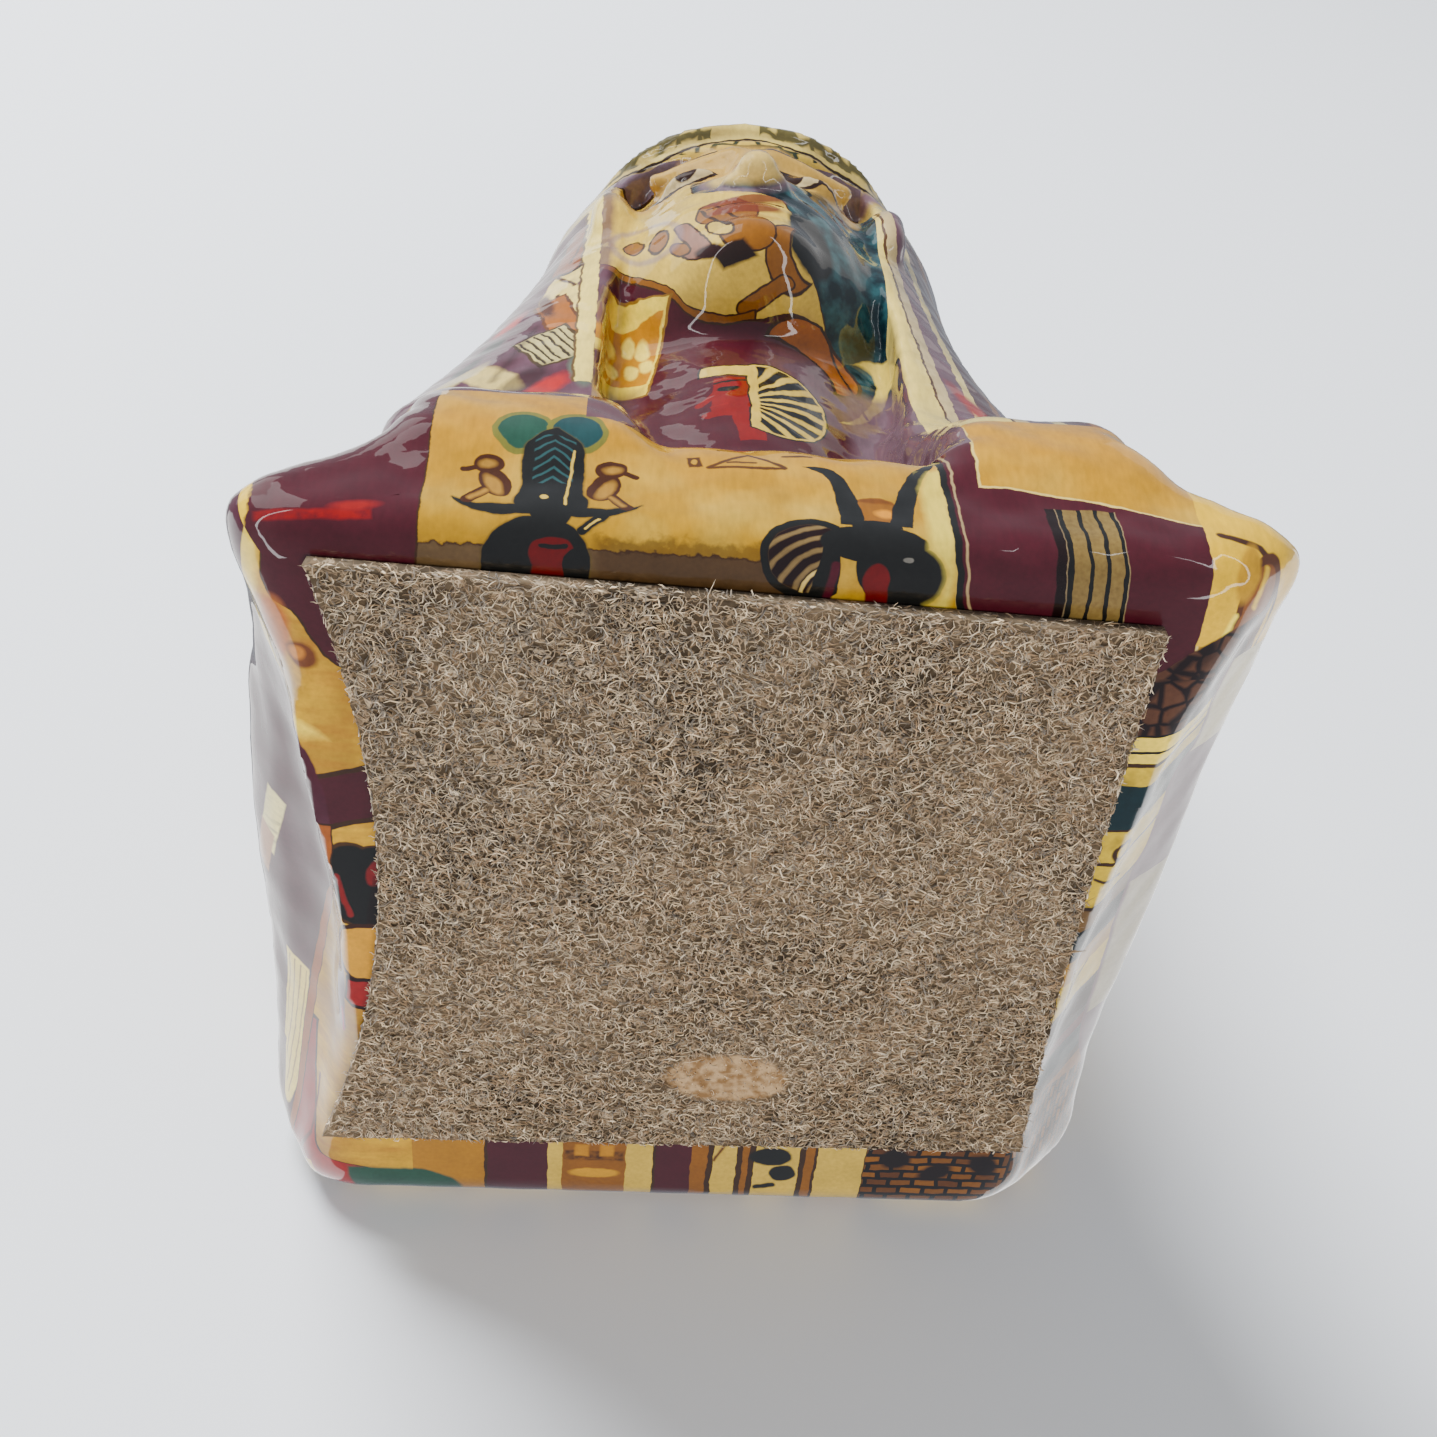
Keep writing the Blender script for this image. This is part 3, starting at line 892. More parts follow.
    # red beads on the dark border
    bead_u = sheet.math("FLOORED_MODULO", sheet.u, 5.2)
    bead = sheet.nodes.new("ShaderNodeCombineXYZ")
    sheet.link(bead_u, bead.inputs[0])
    sheet.link(row, bead.inputs[1])
    sheet.outlined(RUST, sheet.oval(2.6, 4.4, 1.5, 2.4, at=bead.outputs[0]), ink("D8B268"), 0.4)
    return sheet


def round_the_hood(sheet):
    off_x = sheet.math("SUBTRACT", sheet.x, MIDDLE_X)
    turn = sheet.math("ARCTAN2", off_x, sheet.math("MULTIPLY_ADD", sheet.y, -1, -2))
    reach = sheet.math("SQRT", sheet.math("MULTIPLY_ADD", off_x, off_x, sheet.math("POWER", sheet.math("ADD", sheet.y, 2), 2)))
    spread = sheet.math("MAXIMUM", sheet.math("SUBTRACT", reach, 27), 0)
    return sheet.math("MULTIPLY", turn, 27), sheet.math("SUBTRACT", sheet.z, spread)


back_print = patchwork("print_back", lambda s: (s.math("MULTIPLY", s.x, -1), s.z), 11.8, 34)
hood_print = patchwork("print_hood", round_the_hood, 19.2, 36)
for sheet in (back_print, hood_print):
    bust_mesh.materials.append(sheet.finish())


# The sheet over the front of the headdress, beside and above the face: dark red with a pale edge
# along the opening, a striped tassel and rust shapes on the left wing, and a dark lattice on cream
# over the brow.
wings = Print("print_wings")
wings.lay_out(wings.x, wings.z, 0.8)
u, v = wings.u, wings.v
cloud = wings.grain(0.16, 3.0)["Fac"]
wings.colour = wings.blend(wings.math("MULTIPLY_ADD", cloud, 2.4, -0.8, clamp=True), ink("5A1C30"), ink("8A6272"))
wings.paint(ink("D9C48C"), wings.oval(-24.6, 50, 2.0, 5.0, 36), 0.6)
wings.paint(ink("E4D096"), wings.any_of(wings.oval(-18.2, 73.5, 2.0, 7.0, -14), wings.oval(-16.8, 64, 1.6, 8, 6)), 0.2)
wings.paint(ink("6A4420"), wings.any_of(wings.stroke(-19.6, 78, -17.0, 71, 0.45), wings.stroke(-18.8, 70, -17.6, 62, 0.4)), 0.2)
wings.outlined(ink("A85C1A"), wings.any_of(wings.block(-17.2, 86, 1.8, 8.5, -8), wings.oval(-17.8, 80, 1.7, 3.5)), BROWN, 0.5)
wings.paint(ink("5C3212"), wings.stroke(-16.2, 88, -17.8, 80, 0.35), 0.2)
wings.outlined(ink("B97436"), wings.block(-18.4, 63.6, 1.7, 5.6, 12), ink("7A4622"), 0.35)
wings.paint(ink("6E3A1C"), wings.oval(-19.9, 68, 0.8, 4.2, 8), 0.4)
tassel = wings.block(-18.6, 55.8, 2.9, 4.0, 24)
wings.outlined(ink("CFC08C"), tassel, ink("5A4426"), 0.4)
combed = wings.math("MULTIPLY_ADD", v, 0.45, u)
comb_gap = wings.math("SUBTRACT", wings.math("FLOORED_MODULO", combed, 0.95), 0.32)
wings.paint(ink("4A3A22"), wings.both(comb_gap, wings.math("ADD", tassel, 0.35)), 0.15)
wings.paint(ink("C2262C"), wings.any_of(wings.oval(-18.9, 45.8, 1.5, 3.6, -28), wings.oval(-23.8, 66.5, 1.0, 2.6, -30)), 0.9)
wings.paint(ink("20302A"), wings.any_of(wings.oval(-25.4, 60.4, 1.1, 2.2, -30), wings.oval(-27.6, 55.2, 0.8, 3.0, -30)), 0.5)
wings.paint(ink("C9B88C"), wings.oval(-29.5, 50, 1.2, 6, -40), 0.5)
wings.paint(ink("3C1420"), wings.any_of(wings.stroke(-20.6, 62, -24.4, 49, 0.7), wings.oval(-21.2, 48, 1.6, 4.2, -30)), 0.9, 0.7)
wings.paint(ink("7A8A74"), wings.oval(-15.6, 49.5, 1.1, 3.6, 8), 0.6)

# the opening's pale edges, and the right wing
wings.paint(ink("E6D294"), wings.both(wings.math("SUBTRACT", wings.math("ABSOLUTE", wings.math("ADD", u, 15.3)), 0.95), wings.math("SUBTRACT", 47, v)), 0.15)
wings.paint(ink("7A5A30"), wings.both(wings.math("SUBTRACT", wings.math("ABSOLUTE", wings.math("ADD", u, 16.35)), 0.14), wings.math("SUBTRACT", 47, v)), 0.15)
right_bands = [
    (17, ink("DCC88A")), (19.4, ink("6A4A34")), (19.7, ink("C9B48A")), (20.9, ink("7E5664")),
    (23.2, ink("D8C690")), (24.2, MAROON), (26.4, ink("A86A38")), (27.2, MAUVE),
]
leaning = wings.math("MULTIPLY_ADD", v, 0.06, wings.math("SUBTRACT", u, 4.2))
wings.paint(wings.bands(leaning, right_bands), wings.math("SUBTRACT", 15, u))
wings.paint(ink("B02024"), wings.oval(24.8, 50, 1.0, 4.4, 24), 0.8)

# the brow: bars and loops of dark green on cream, and pale dark-red edges
brow = wings.math("SUBTRACT", 103.4, wings.math("MULTIPLY_ADD", wings.math("ABSOLUTE", u), -0.15, v))
brow_colour = wings.blend(wings.math("MULTIPLY_ADD", cloud, 3, -1.1, clamp=True), ink("DAC78A"), ink("B9A066"))
wings.paint(brow_colour, wings.math("SUBTRACT", 98.5, v), 0.5)
wings.paint(ink("9C7A84"), wings.math("SUBTRACT", wings.math("ABSOLUTE", wings.math("SUBTRACT", v, 104.2)), 0.8), 0.8)
net = wings.nodes.new("ShaderNodeTexVoronoi")
net.feature = "DISTANCE_TO_EDGE"
net.inputs["Scale"].default_value = 0.42
net.inputs["Randomness"].default_value = 0.55
wings.link(wings.at, net.inputs["Vector"])
loops = wings.math("SUBTRACT", net.outputs["Distance"], 0.13)
on_brow = wings.math("SUBTRACT", wings.math("ABSOLUTE", wings.math("SUBTRACT", v, 108.0)), 1.9)
on_brow = wings.both(on_brow, wings.math("SUBTRACT", 3.0, wings.math("ABSOLUTE", wings.math("SUBTRACT", u, 1.5))))
wings.paint(ink("3A4030"), wings.both(loops, on_brow), 0.1, 0.85)
wings.paint(ink("3A2A1C"), wings.math("SUBTRACT", wings.math("ABSOLUTE", wings.math("SUBTRACT", wings.math("ABSOLUTE", wings.math("SUBTRACT", v, 108.2)), 2.9)), 0.2), 0.12)
bust_mesh.materials.append(wings.finish())


# The sheet over neck, jaw and face: a small crowned head in profile on the dark red neck, a framed
# panel beside it, and a rust, cream and teal picture that runs up over the chin.
neck = Print("print_neck")
overhang = neck.math("MAXIMUM", neck.math("MULTIPLY_ADD", neck.y, -1, -28), 0)
neck.lay_out(neck.x, neck.math("ADD", neck.z, overhang), 0.7)
u, v = neck.u, neck.v
neck.colour = neck.blend(neck.math("MULTIPLY_ADD", neck.grain(0.2, 3.0)["Fac"], 2.4, -0.7, clamp=True), CREAM, ink("D8BC78"))

# teal picture over the right of the jaw
teal_edge = neck.bend(v, [(58, 12.5), (64, 11.2), (70, 9.6), (76, 7.4), (82, 7.2), (88, 5.0), (91, -4), (95, -4)])
teal_area = neck.both(neck.math("SUBTRACT", teal_edge, u), neck.math("SUBTRACT", 57, v), neck.math("SUBTRACT", v, 95))
veins = neck.grain(0.35, 3.0)["Fac"]
teal_ink = neck.blend(neck.math("MULTIPLY_ADD", veins, 5.0, -2.2, clamp=True), ink("1E3238"), ink("3C6C72"))
neck.paint(BROWN, neck.math("SUBTRACT", teal_area, 0.2))
neck.paint(teal_ink, teal_area)
neck.paint(CHARCOAL, neck.both(neck.oval(8.2, 78.5, 2.8, 6.4, 12), neck.math("SUBTRACT", 6.0, u)), 0.5)
neck.outlined(RUST, neck.both(neck.oval(6.2, 74.8, 2.9, 5.6), neck.math("MULTIPLY", neck.oval(8.4, 76.5, 2.4, 5.2), -1)))

# rust and brown shapes round a dark disc
neck.outlined(RUST, neck.oval(-0.6, 83.5, 3.4, 3.2, 10))
neck.outlined(RUST, neck.oval(1.4, 78.0, 3.0, 3.6))
neck.outlined(CREAM, neck.oval(-1.6, 79.4, 1.2, 2.2, 24))
neck.paint(BROWN, neck.any_of(neck.stroke(-3.4, 84.5, -0.6, 79.4, 0.45), neck.stroke(-2.0, 85.8, 0.8, 81.0, 0.45)))
neck.outlined(ink("A8745E"), neck.any_of(neck.stroke(-5.4, 81.6, -3.4, 76.2, 1.8), neck.oval(-4.0, 76.0, 1.5, 1.8)))
neck.paint(ink("33241C"), neck.block(-0.1, 74.2, 2.0, 1.6, 28), 0.5)
neck.paint(ink("3A2018"), neck.oval(-2.6, 75.0, 1.5, 1.2), 0.5)
neck.outlined(RUST, neck.stroke(1.6, 66.6, 5.6, 70.6, 2.0))
neck.outlined(RUST, neck.any_of(neck.oval(-10.6, 80.4, 1.1, 1.7, 10), neck.oval(-7.9, 80.0, 1.0, 2.4, -4), neck.oval(-5.6, 77.0, 0.9, 1.5, 20)))
neck.paint(ink("A58C92"), neck.math("SUBTRACT", neck.math("ABSOLUTE", neck.oval(-9.4, 81.0, 3.6, 4.6, 20)), 0.45), 0.5, 0.6)

# the dark red neck under its rust border
rim = neck.bend(u, [(-15, 75.6), (-13.5, 75.0), (-7.6, 70.8), (-1.6, 64.8), (3, 65.4), (8, 66.6), (12, 60.5), (18, 56)])
below = neck.math("SUBTRACT", v, rim)
neck.outlined(RUST, neck.both(neck.math("SUBTRACT", below, 1.1), neck.math("SUBTRACT", u, 2.5)))
neck.paint(BROWN, below)
neck.paint(MAROON, neck.math("ADD", below, 0.35))
neck.paint(ink("7A5A62"), neck.both(neck.oval(10, 58, 6.5, 9.5, -24), neck.math("ADD", below, 0.3)), 4.0, 0.7)
wing = neck.both(neck.oval(9.2, 61.4, 5.6, 4.4, -38), neck.math("MULTIPLY", neck.oval(6.2, 58.2, 5.6, 4.4, -38), -1))
neck.outlined(ink("B8702A"), wing, BROWN, 0.4)
neck.paint(ink("D9C27C"), neck.both(neck.oval(13.6, 58.6, 3.4, 8.5, -24), neck.math("MULTIPLY", neck.oval(11.6, 57.2, 3.4, 8.8, -24), -1)), 0.2)
neck.paint(BROWN, neck.stroke(11.2, 65.5, 14.6, 54.0, 0.4), 0.15)

# framed mustard panel with pale ovals
neck.outlined(ink("E6CE84"), neck.block(-11.2, 63.0, 3.7, 7.4, -9), ink("A87A34"), 0.3)
neck.paint(ink("C8902E"), neck.block(-11.2, 63.2, 3.3, 5.0, -9), 0.15)
for tile_u, tile_v in ((-13.0, 65.6), (-10.8, 66.0), (-9.2, 65.0), (-12.6, 61.6), (-10.4, 61.2), (-8.8, 61.8)):
    neck.paint(ink("EBD690"), neck.oval(tile_u, tile_v, 0.75, 1.5, 6), 0.3)
neck.paint(CREAM, neck.oval(-13.4, 46, 1.8, 7, -8), 0.3)

# the small painted head: plain, in profile, with a striped headcloth
face_parts = [
    neck.block(0.2, 50.0, 2.3, 3.9, -3),
    neck.stroke(-1.8, 50.8, -3.3, 49.2, 1.0),
    neck.stroke(-1.6, 47.0, -2.6, 46.6, 1.0),
    neck.block(1.4, 44.2, 1.3, 3.2, 8),
]
neck.paint(RED, neck.any_of(*face_parts), 0.12)
neck.paint(CHARCOAL, neck.any_of(neck.oval(-0.4, 51.6, 1.2, 0.5, 4), neck.stroke(-1.8, 53.0, 1.6, 53.2, 0.35)))
neck.paint(ink("A4141A"), neck.stroke(-2.2, 48.2, -0.6, 48.4, 0.25))
hood_shape = neck.any_of(neck.block(-0.2, 55.6, 3.0, 1.0, -8), neck.both(neck.oval(4.2, 49.6, 5.4, 7.2, 12), neck.math("SUBTRACT", 1.7, u)))
neck.paint(CHARCOAL, neck.math("SUBTRACT", hood_shape, 0.2))
neck.paint(CREAM, hood_shape)
fan = neck.moved(0.2, 48.6)
fan_parts = neck.nodes.new("ShaderNodeSeparateXYZ")
neck.link(fan, fan_parts.inputs[0])
angle = neck.math("ARCTAN2", fan_parts.outputs[1], fan_parts.outputs[0])
stripe = neck.math("SUBTRACT", neck.math("ABSOLUTE", neck.math("SUBTRACT", neck.math("FLOORED_MODULO", angle, 0.27), 0.135)), 0.075)
stripe = neck.both(neck.math("MULTIPLY", stripe, 5), neck.math("ADD", hood_shape, 0.25), neck.math("SUBTRACT", 2.6, u))
neck.paint(CHARCOAL, stripe, 0.15)

# bands across the face, and a green lattice at the brow
upper = neck.bands(v, [(90, CREAM), (96.5, RUST), (97.3, CREAM), (103, BROWN), (103.4, MAUVE), (107, CREAM)])
neck.paint(upper, neck.math("SUBTRACT", 95.4, v), 0.4)
lattice = neck.vector("MULTIPLY", neck.at, (0.5, 0.5, 0))
net = neck.nodes.new("ShaderNodeTexVoronoi")
net.feature = "DISTANCE_TO_EDGE"
net.inputs["Scale"].default_value = 0.8
net.inputs["Randomness"].default_value = 0.5
neck.link(lattice, net.inputs["Vector"])
mesh_lines = neck.both(neck.math("SUBTRACT", net.outputs["Distance"], 0.12), neck.math("SUBTRACT", 108, v))
neck.paint(ink("3A4430"), mesh_lines, 0.08)
neck.paint(ink("D8BE86"), neck.oval(1.8, 93.6, 4.4, 3.0), 1.4, 0.9)
neck.paint(ink("9A7684"), neck.math("SUBTRACT", neck.math("ABSOLUTE", neck.oval(1.8, 93.0, 4.8, 3.6)), 0.5), 0.9, 0.7)
neck.paint(ink("846670"), neck.both(neck.math("SUBTRACT", 12.2, u), neck.math("SUBTRACT", v, 59)), 1.6, 0.85)
neck.paint(ink("80565E"), neck.both(neck.math("ADD", u, 9.6), neck.math("SUBTRACT", v, 56.5)), 2.2, 0.75)
neck.paint(ink("7A5562"), neck.both(neck.math("SUBTRACT", neck.math("ABSOLUTE", neck.math("ADD", u, 13.9)), 0.9), neck.math("SUBTRACT", 62, v)), 0.9, 0.8)

# the face itself, painted over the paper: calm, open eyes with liner, straight brows, closed lips
neck.lay_out(neck.math("SUBTRACT", neck.x, 1.4), neck.z, 0.12)
low_edge = neck.math("SUBTRACT", 89.2, neck.v)
high_edge = neck.math("SUBTRACT", neck.v, 104)
neck.paint(ink("C8A468"), neck.both(neck.oval(0, 92, 14.6, 13.5), low_edge, high_edge), 1.2, 0.92)
for side in (-1, 1):
    eye_u = side * EYE[0][0]
    lids = neck.both(neck.oval(eye_u, 89.2, 4.2, 3.3), neck.oval(eye_u, 92.8, 4.2, 3.3))
    neck.outlined(ink("C9B68E"), lids, ink("3A2618"), 0.4)
    neck.paint(ink("3A2618"), neck.both(neck.oval(eye_u, 91.5, 1.3, 1.5), lids), 0.15)
    neck.paint(ink("3A2618"), neck.stroke(eye_u + side * 3.2, 90.9, eye_u + side * 5.6, 90.6, 0.4))
    neck.paint(ink("5A4028"), neck.stroke(side * 2.8, 95.7, side * 10.8, 95.3, 0.6))
mouth = neck.any_of(neck.oval(0, UPPER_LIP[0][2], 4.6, 1.0), neck.oval(0, LOWER_LIP[0][2], 4.0, 1.2))
neck.paint(ink("8E4432"), mouth, 0.3, 0.9)
neck.paint(ink("4A201A"), neck.stroke(-4.2, 76.7, 4.2, 76.7, 0.22))
bust_mesh.materials.append(neck.finish())


# The felt: a hand-cut pad of matted grey-brown wool, glued under the foot. Its left edge is cut
# hollow, and the glue has gone through near the back as a smooth pale spot.
FELT_THICK = 1.7
FELT_LOW = 0.5  # height of the matted face, under which the loose fibres lie
FELT_CORNERS = ((-34.8, -38), (32.2, -35.4), (32.2, 29), (-37.4, 29.8))
FELT_LEFT_BOW = 5.5
FELT_RIGHT_BOW = -0.6
FELT_STEPS = (210, 200)
GLUE_SPOT = (2.0, 19.2, 6.0, 3.5)
rng = np.random.default_rng(41)


def felt_place(s, t):
    """Where the pad's point at s across and t back lies, with both from 0 to 1."""
    (ax, ay), (bx, by), (cx_, cy_), (dx, dy) = FELT_CORNERS
    bulge = 4 * t * (1 - t)
    left_x, left_y = mix(ax, dx, t) + FELT_LEFT_BOW * bulge, mix(ay, dy, t)
    right_x, right_y = mix(bx, cx_, t) + FELT_RIGHT_BOW * bulge, mix(by, cy_, t)
    return mix(left_x, right_x, s), mix(left_y, right_y, s)


def matted(x, y, seed):
    """Matted wool's ups and downs: folded waves, bent by larger ones."""
    bend_x = 1.3 * np.sin(0.9 * y + seed) + 0.8 * np.sin(1.7 * x - 0.6 * y + 2 * seed)
    bend_y = 1.3 * np.sin(0.8 * x + 2.1 * seed) + 0.8 * np.sin(1.5 * y + 0.7 * x)
    fold = np.abs(np.sin(1.25 * x + bend_y)) * np.abs(np.sin(1.35 * y + bend_x + seed))
    fine = np.abs(np.sin(3.1 * x + 2 * bend_x)) * np.abs(np.sin(2.9 * y - 2 * bend_y))
    return fold + 0.5 * fine


felt_s, felt_t = np.meshgrid(np.linspace(0, 1, FELT_STEPS[0]), np.linspace(0, 1, FELT_STEPS[1]), indexing="ij")
felt_x, felt_y = felt_place(felt_s, felt_t)
rim_near = np.minimum(np.minimum(felt_s, 1 - felt_s), np.minimum(felt_t, 1 - felt_t))
fray = 0.12 * np.sin(1.9 * felt_y + 2.2 * np.sin(0.7 * felt_x)) * ease(0.02 - rim_near, 0, 0.02)
fray_x = fray + rng.normal(0, 0.05, felt_x.shape) * (rim_near < 0.001)
glued = np.exp(-(((felt_x - GLUE_SPOT[0]) / GLUE_SPOT[2]) ** 4) - ((felt_y - GLUE_SPOT[1]) / GLUE_SPOT[3]) ** 4)
relief = (matted(felt_x, felt_y, 0.4) - 0.6) * 0.2 - 0.3 * glued
relief = relief + rng.normal(0, 0.035, relief.shape) * (1 - 0.6 * glued)
crisp = 1 - ease(rim_near, 0, 0.01)
felt_z = np.clip(mix(FELT_LOW + relief, 0.3, crisp), 0.08, FELT_THICK - 0.3)
low_face = np.stack([felt_x + fray_x, felt_y + fray * 0.4, felt_z], -1)
high_face = np.stack([felt_x, felt_y, np.full_like(felt_x, FELT_THICK)], -1)
n_s, n_t = FELT_STEPS
felt_points = np.concatenate([low_face.reshape(-1, 3), high_face.reshape(-1, 3)])
index = np.arange(n_s * n_t).reshape(n_s, n_t)
low_quads = np.stack([index[:-1, :-1], index[:-1, 1:], index[1:, 1:], index[1:, :-1]], -1).reshape(-1, 4)
ring_index = np.concatenate([index[:-1, 0], index[-1, :-1], index[:0:-1, -1], index[0, :0:-1]])
next_index = np.roll(ring_index, -1)
side_quads = np.stack([ring_index, next_index, next_index + n_s * n_t, ring_index + n_s * n_t], -1)
top_face = (ring_index + n_s * n_t).tolist()
felt_faces = low_quads.tolist() + side_quads.tolist() + [top_face]
used_points = np.unique(np.concatenate([np.arange(n_s * n_t), ring_index + n_s * n_t]))
renumber = np.full(len(felt_points), -1)
renumber[used_points] = np.arange(len(used_points))
felt_faces = [renumber[np.array(face)].tolist() for face in felt_faces]
felt_mesh = bpy.data.meshes.new("felt_pad_matted")
felt_mesh.from_pydata((felt_points[used_points] / 1000).tolist(), [], felt_faces)
felt_mesh.shade_smooth()
felt = bpy.data.objects.new("felt_pad_matted", felt_mesh)
bpy.context.scene.collection.objects.link(felt)

def wool(name, dark, light, glue=None):
    """Matted wool: clouds of tone with fine flecks, and a smooth stain where glue came through."""
    material = bpy.data.materials.new(name)
    material.use_nodes = True
    nodes, links = material.node_tree.nodes, material.node_tree.links
    place = nodes.new("ShaderNodeTexCoord")
    cloud = nodes.new("ShaderNodeTexNoise")
    cloud.inputs["Scale"].default_value = 60
    cloud.inputs["Detail"].default_value = 6
    tones = nodes.new("ShaderNodeValToRGB")
    tones.color_ramp.elements[0].position, tones.color_ramp.elements[0].color = 0.36, dark
    tones.color_ramp.elements[1].position, tones.color_ramp.elements[1].color = 0.66, light
    fleck = nodes.new("ShaderNodeTexNoise")
    fleck.inputs["Scale"].default_value = 900
    fleck.inputs["Detail"].default_value = 3
    for texture in (cloud, fleck):
        links.new(place.outputs["Object"], texture.inputs["Vector"])
    flecked = nodes.new("ShaderNodeMixRGB")
    flecked.blend_type = "OVERLAY"
    flecked.inputs[0].default_value = 0.75
    links.new(cloud.outputs["Fac"], tones.inputs[0])
    links.new(tones.outputs["Color"], flecked.inputs[1])
    links.new(fleck.outputs["Fac"], flecked.inputs[2])
    colour = flecked.outputs[0]
    for scale, offset, strand_tone in ((330, 0.0, (0.2, 0.135, 0.08, 1)), (430, 3.1, (0.32, 0.23, 0.14, 1)), (520, 7.7, (0.5, 0.38, 0.25, 1))):
        lock = nodes.new("ShaderNodeTexNoise")
        lock.noise_dimensions = "4D"
        lock.inputs["W"].default_value = offset
        lock.inputs["Scale"].default_value = scale
        lock.inputs["Detail"].default_value = 1
        lock.inputs["Distortion"].default_value = 1.6
        links.new(place.outputs["Object"], lock.inputs["Vector"])
        off_line = nodes.new("ShaderNodeMath")
        off_line.operation = "SUBTRACT"
        off_line.inputs[1].default_value = 0.5
        links.new(lock.outputs["Fac"], off_line.inputs[0])
        line = nodes.new("ShaderNodeMath")
        line.operation = "ABSOLUTE"
        links.new(off_line.outputs[0], line.inputs[0])
        strand = nodes.new("ShaderNodeMapRange")
        strand.inputs["From Min"].default_value = 0.022
        strand.inputs["From Max"].default_value = 0.007
        strand.inputs["To Max"].default_value = 0.8
        links.new(line.outputs[0], strand.inputs["Value"])
        over_it = nodes.new("ShaderNodeMixRGB")
        links.new(strand.outputs[0], over_it.inputs[0])
        links.new(colour, over_it.inputs[1])
        over_it.inputs[2].default_value = strand_tone
        colour = over_it.outputs[0]
    if glue:
        spot_x, spot_y, half_w, half_h = (v / 1000 for v in glue)
        spot = nodes.new("ShaderNodeMapping")
        spot.vector_type = "TEXTURE"
        spot.inputs["Location"].default_value = (spot_x, spot_y, 0)
        spot.inputs["Scale"].default_value = (half_w, half_h, 1)
        links.new(place.outputs["Object"], spot.inputs["Vector"])
        away = nodes.new("ShaderNodeVectorMath")
        away.operation = "LENGTH"
        links.new(spot.outputs[0], away.inputs[0])
        ragged = nodes.new("ShaderNodeMath")
        ragged.operation = "MULTIPLY_ADD"
        ragged.inputs[1].default_value = 0.9
        links.new(cloud.outputs["Fac"], ragged.inputs[0])
        links.new(away.outputs["Value"], ragged.inputs[2])
        cover = nodes.new("ShaderNodeMapRange")
        cover.inputs["From Min"].default_value = 1.5
        cover.inputs["From Max"].default_value = 1.35
        links.new(ragged.outputs[0], cover.inputs["Value"])
        stain = nodes.new("ShaderNodeValToRGB")
        stain.color_ramp.elements[0].position, stain.color_ramp.elements[0].color = 0.38, (0.2, 0.11, 0.045, 1)
        stain.color_ramp.elements[1].position, stain.color_ramp.elements[1].color = 0.6, (0.42, 0.28, 0.15, 1)
        links.new(fleck.outputs["Fac"], stain.inputs[0])
        glued_over = nodes.new("ShaderNodeMixRGB")
        links.new(cover.outputs[0], glued_over.inputs[0])
        links.new(colour, glued_over.inputs[1])
        links.new(stain.outputs["Color"], glued_over.inputs[2])
        colour = glued_over.outputs[0]
    shader = nodes["Principled BSDF"]
    links.new(colour, shader.inputs["Base Color"])
    shader.inputs["Roughness"].default_value = 0.95
    shader.inputs["Specular IOR Level"].default_value = 0.15
    bump = nodes.new("ShaderNodeBump")
    bump.inputs["Strength"].default_value = 0.8
    bump.inputs["Distance"].default_value = 0.0002
    links.new(fleck.outputs["Fac"], bump.inputs["Height"])
    links.new(bump.outputs[0], shader.inputs["Normal"])
    return material


felt_mesh.materials.append(wool("wool_matted", (0.035, 0.025, 0.016, 1), (0.13, 0.092, 0.056, 1), GLUE_SPOT))
felt_mesh.materials.append(wool("wool_cut", (0.08, 0.06, 0.04, 1), (0.26, 0.195, 0.125, 1)))
felt_mesh.polygons.foreach_set("material_index", [0] * len(low_quads) + [1] * len(side_quads) + [0])
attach(felt, "root")
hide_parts("felt_pad")


# The felt's fibres: short curly wool hairs, pale over dark, matted on the pad's face, with a few
# that stand out from its cut edges.
HAIR_STEPS = 4
HAIR_SIDES = 3


